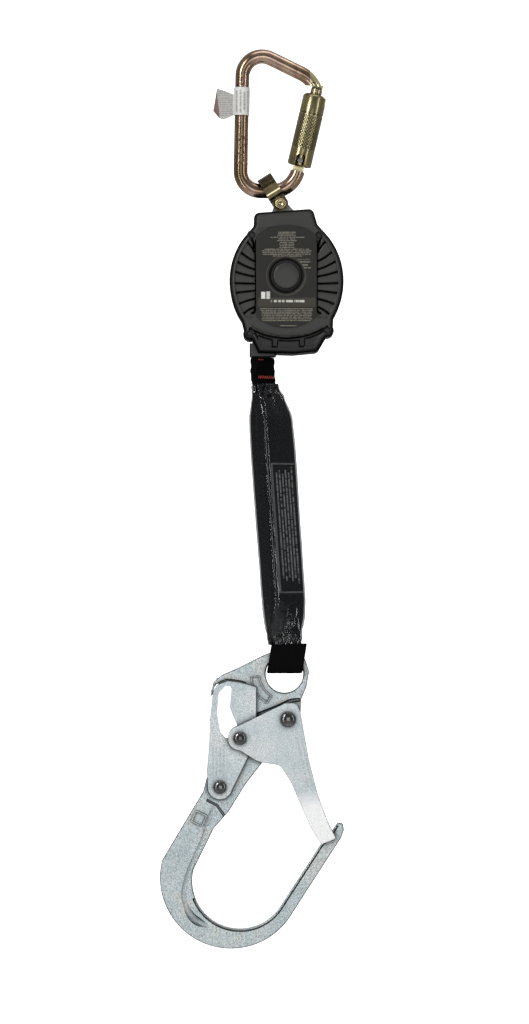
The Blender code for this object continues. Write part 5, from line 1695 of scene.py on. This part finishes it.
def tag_material():
    """The tag: off-white film with a dark red strip and grey rows that spell nothing, and painted
    shade on the curled flag.
    """
    make = Shader("tag_film")
    x, _, z = make.axes()
    fibre = make.noise(700.0, 4.0)
    tone = make.ramp(fibre, (0.3, (0.74, 0.73, 0.69)), (0.7, (0.85, 0.84, 0.81)))
    rows = make.print_lines(x, z, (-0.0375, -0.0225, -0.0405, -0.0205), 0.0014, 0.0012, 0.15, 7.0)
    wrap = make.print_lines(z, x, (-0.0390, -0.0205, -0.0215, -0.0105), 0.0030, 0.0010, 0.25, 8.0)
    tone = make.mix(make.times(make.most(rows, wrap), 0.80), tone, (0.25, 0.24, 0.23))
    slope = make.times_plus(z, 0.12, x)
    strip = make.span(slope, -0.0430, -0.0375, 0.0002)
    tone = make.mix(make.times(strip, 0.9), tone, (0.22, 0.055, 0.045))
    # Painted shade: the curled flag, left of the wrap, is darker.
    tone = make.mix(
        make.math("LESS_THAN", x, -0.0222), tone, make.mix(0.42, tone, (0.10, 0.10, 0.09))
    )
    make.set(
        Base_Color=tone, Roughness=0.45, Normal=make.bump(fibre, 0.3, 0.00008),
        Subsurface_Weight=0.05
    )
    return make.material


def film_material():
    """Clear vinyl: see-through, glossy, with fine ripples and a faint blue tone."""
    make = Shader("clear_vinyl")
    make.set(
        Base_Color=(0.004, 0.005, 0.007), Roughness=0.09, IOR=1.5,
        Specular_IOR_Level=make.frontal(1.0)
    )
    ripple = make.bump(
        make.noise(210.0, 4.0, rough=0.6), 0.15, 0.0004,
        make.bump(make.noise(60.0, 3.0), 0.25, 0.0012)
    )
    make.set(Normal=ripple, Alpha=0.60)
    return make.material


def thread_material():
    """Red polyester thread with a twist along it."""
    make = Shader("red_thread")
    x, _, z = make.axes()
    twist = make.math("SINE", make.times(make.plus(x, z), 9000.0))
    tone = make.ramp(
        make.times_plus(twist, 0.5, 0.5), (0.2, (0.30, 0.012, 0.010)), (0.8, (0.62, 0.030, 0.022))
    )
    make.set(Base_Color=tone, Roughness=0.6, Normal=make.bump(twist, 0.5, 0.0001), Sheen_Weight=0.3)
    return make.material


# The metals that metal() makes: their dark, middle and light tones, and then its other values
METALS = {
    "straw_zinc": (
        "straw_zinc", (0.36, 0.29, 0.15), (0.50, 0.42, 0.23), (0.66, 0.57, 0.35),
        0.24, 0.1, 1200.0, 120.0,
    ),
    "polished_dark": (
        "polished_dark", (0.07, 0.07, 0.072), (0.12, 0.12, 0.122), (0.20, 0.20, 0.20),
        0.14, 0.2, 1600.0, 200.0,
    ),
    "dark_steel": (
        "dark_steel_oiled", (0.05, 0.048, 0.045), (0.10, 0.095, 0.09), (0.22, 0.21, 0.20),
        0.33, 0.3, 1300.0, 220.0,
    ),
    "plain_steel": (
        "plain_steel_turned", (0.16, 0.16, 0.15), (0.23, 0.23, 0.21), (0.33, 0.33, 0.31),
        0.34, 0.1, 1300.0, 90.0,
    ),
    "spring_steel": (
        "spring_steel_blued", (0.18, 0.19, 0.22), (0.30, 0.31, 0.34), (0.45, 0.45, 0.47),
        0.28, 0.25, 1500.0, 160.0,
    ),
    "brass": (
        "brass_turned", (0.48, 0.32, 0.12), (0.68, 0.49, 0.21), (0.82, 0.66, 0.35),
        0.26, 0.25, 1500.0, 260.0,
    ),
    "bronze": (
        "bronze_sintered", (0.34, 0.21, 0.11), (0.48, 0.31, 0.17), (0.60, 0.43, 0.26),
        0.42, 0.6, 1700.0, 150.0,
    ),
    "aluminium": (
        "aluminium_cast", (0.48, 0.49, 0.50), (0.60, 0.61, 0.63), (0.70, 0.71, 0.72),
        0.40, 0.5, 1000.0, 110.0,
    ),
}


def olive_zinc():
    """The sleeve's dark olive zinc, with painted shade in the valleys of its knurl and where other
    surfaces are close.
    """
    tones = ((0.24, 0.20, 0.10), (0.31, 0.265, 0.14), (0.40, 0.35, 0.20))
    return metal(
        "olive_zinc", *tones, 0.24, 0.08, 1000.0, 70.0, reach=0.0020, power=2.0,
        knurl_valley_shade=knurl_crest
    )


def strap_material():
    """The strap's dark olive zinc, lighter towards straw in patches, with painted highlights on its
    folds and painted shade where other surfaces are close.
    """
    tones = ((0.050, 0.040, 0.020), (0.085, 0.068, 0.038), (0.15, 0.12, 0.065))
    return metal("strap_zinc", *tones, 0.22, 0.10, 1100.0, 150.0, painted_highlights=strap_fold_highlights)


def looks():
    """Every finish by name."""
    found = {name: metal(*values) for name, values in METALS.items()}
    found.update(
        yellow_zinc=yellow_zinc(),
        olive_zinc=olive_zinc(),
        strap=strap_material(),
        zinc=zinc_forging(),
        zinc_plate=zinc_plate(),
        nylon=moulded("charcoal_nylon", (0.022, 0.022, 0.020), 0.46, 1500.0, 0.40, True),
        nylon_smooth=moulded("charcoal_nylon_smooth", (0.020, 0.020, 0.018), 0.38, 1700.0, 0.22),
        webbing=webbing("black_webbing_weave"),
        label=housing_label(),
        pack_label=pack_label_material(),
        tag=tag_material(),
        film=film_material(),
        red_thread=thread_material(),
    )
    return found


def zinc_plate():
    """The pressed plates' zinc: brighter than the forging, with streaks and stamped rows, and
    painted shade where other surfaces are close and on faces turned from the front.
    """
    make = Shader("pale_zinc_plate")
    streak = make.noise(1.0, 4.0, make.stretch((900, 900, 60), (0, 0.35, 0)), 0.6)
    grain = make.noise(1500.0, 3.0, rough=0.75)
    cloud = make.noise(32.0, 4.0, rough=0.6)
    tone = make.ramp(
        cloud, (0.30, (0.60, 0.69, 0.72)), (0.5, (0.76, 0.82, 0.84)), (0.65, (0.86, 0.88, 0.88)),
        (0.8, (0.70, 0.77, 0.84))
    )
    light = make.mix(make.ramp(grain, (0.38, 0.75), (0.58, 0.0)), tone, (0.28, 0.33, 0.35))
    x, _, z = make.axes()
    first, second = make.minus(x, 0.0283), make.minus(z, -0.5182)
    down = make.times_plus(second, -0.974, make.times(first, 0.225))
    aside = make.times_plus(second, 0.225, make.times(first, 0.974))
    lever_rows = (-0.5498, -0.5251, -0.0384, -0.0272)
    stamps = make.most(
        make.print_lines(down, aside, (0.0, 0.040, -0.0034, 0.0034), 0.0034, 0.0016, 0.1, 11.0),
        make.print_lines(z, x, lever_rows, 0.0028, 0.0013, 0.2, 12.0)
    )
    light = make.mix(make.times(stamps, 0.35), light, (0.25, 0.29, 0.31))
    # Near white towards the lower end of the gate plates.
    whiter_gate_end = make.times(
        make.ramp(make.times(down, 10.0), (0.42, 0.0), (0.55, 1.0)),
        make.math("GREATER_THAN", x, 0.02)
    )
    light = make.mix(whiter_gate_end, light, (0.97, 0.97, 0.97))
    gloss = make.times_plus(streak, 0.14, 0.36)
    # Painted shade near close surfaces and on faces turned from the front.
    make.set(
        Base_Color=make.shade_walls(make.crevice_shade(light, 0.005, 0.08, 4.0), 0.35), Metallic=0.85,
        Roughness=gloss, Normal=make.bump(grain, 0.28, 0.00008, make.bump(streak, 0.12, 0.00006))
    )
    return make.material


# The look of each material slot of the frame, where its name isn't the slot's own
CAD_LOOKS = {
    "antique_brass": "olive_zinc", "bright_zinc": "zinc", "black_nylon": "nylon",
    "label_print": "label", "black_webbing": "webbing", "clear_film": "film", "white_tag": "tag",
}


def dress_frame(look):
    """Better materials on every CAD node that stays."""
    for sub in frame["record"]["subparts"]:
        node = frame["nodes"][sub["node"]]
        node.data.materials.clear()
        slot = sub["material_slot"]
        node.data.materials.append(look[CAD_LOOKS.get(slot, slot)])


# Stage

FLOOR, FLOOR_HALF = -1.45, 6.0
CAMERA_PLACE, CAMERA_LENS = (0.0019, -3.6, -0.3457), 164.2
LIGHTS = (
    ("key", (-0.9, -1.3, 0.55), (0.35, 0.7), 8.5),
    ("fill", (1.15, -1.0, -0.1), (0.16, 1.5), 3.6),
    ("top", (0.1, -0.25, 1.1), (1.2, 0.5), 3.6),
    ("strip_left", (-1.0, -1.3, -0.25), (0.10, 1.5), 4.6),
    ("front", (0.2, -4.2, -0.5), (1.6, 1.6), 15.0),
    ("rear", (0.9, 1.5, 0.5), (1.0, 1.0), 9.0),
)
AIM = (0.0, 0.0, -0.34)


def stage_material(name, colour, roughness):
    """A pale paint with a hardly visible grain."""
    make = Shader(name)
    grain = make.noise(180.0, 3.0)
    make.set(
        Base_Color=make.ramp(grain, (0.3, colour), (0.7, tuple(0.99 * c for c in colour))),
        Roughness=roughness
    )
    return make.material


def area_light(name, place, size, power):
    """A soft rectangular light turned towards the middle of the object."""
    data = bpy.data.lights.new(name, "AREA")
    data.shape = "RECTANGLE"
    data.size, data.size_y = size
    data.energy = power
    lamp = bpy.data.objects.new(name, data)
    lamp.location = place
    lamp.rotation_euler = (Vector(AIM) - Vector(place)).to_track_quat("-Z", "Y").to_euler()
    bpy.context.scene.collection.objects.link(lamp)


def studio_world():
    """A soft grey surround: dim in front, lighter overhead, and white straight behind."""
    world = bpy.data.worlds.new("studio")
    world.use_nodes = True
    tree = world.node_tree

    def math_node(operation, first, second, third=0.0):
        node = tree.nodes.new("ShaderNodeMath")
        node.operation = operation
        for socket, value in zip(node.inputs, (first, second, third)):
            if isinstance(value, bpy.types.NodeSocket):
                tree.links.new(value, socket)
            else:
                socket.default_value = value
        return node.outputs[0]

    axes = tree.nodes.new("ShaderNodeSeparateXYZ")
    tree.links.new(tree.nodes.new("ShaderNodeTexCoord").outputs["Generated"], axes.inputs[0])
    around = math_node("MULTIPLY_ADD", axes.outputs[1], 0.15, 0.27)
    sky = math_node("MULTIPLY_ADD", math_node("MAXIMUM", axes.outputs[2], 0.0), 0.22, around)
    white = tree.nodes.new("ShaderNodeMapRange")
    tree.links.new(axes.outputs[1], white.inputs["Value"])
    white.inputs["From Min"].default_value = 0.978
    white.inputs["From Max"].default_value = 0.988
    tree.links.new(
        math_node("MULTIPLY_ADD", white.outputs[0], 1.2, sky), tree.nodes["Background"].inputs[1]
    )
    tree.nodes["Background"].inputs[0].default_value = (0.98, 0.99, 1.0, 1.0)
    bpy.context.scene.world = world


def stage():
    """A pale floor well below the hanging object, a soft surround, soft lights, and the camera."""
    points = [
        (x * FLOOR_HALF, y * FLOOR_HALF, FLOOR) for x, y in ((-1, -1), (1, -1), (1, 1), (-1, 1))
    ]
    mesh = bpy.data.meshes.new("floor")
    mesh.from_pydata(points, [], [(0, 1, 2, 3)])
    floor = thing("floor", mesh)
    mesh.materials.append(stage_material("pale_paint", (0.93, 0.93, 0.93), 0.85))
    bpy.context.scene.view_settings.view_transform = "Standard"
    studio_world()
    for facts in LIGHTS:
        area_light(*facts)
    data = bpy.data.cameras.new("camera")
    data.lens = CAMERA_LENS
    data.sensor_width = 36.0
    camera = bpy.data.objects.new("camera", data)
    camera.location = CAMERA_PLACE
    camera.rotation_euler = (math.radians(90), 0.0, 0.0)
    bpy.context.scene.collection.objects.link(camera)
    bpy.context.scene.camera = camera


look = looks()
stage()
dress_frame(look)
carabiner_pieces(look)
housing_pieces(look)
webbing_pieces(look)
hook_pieces(look)
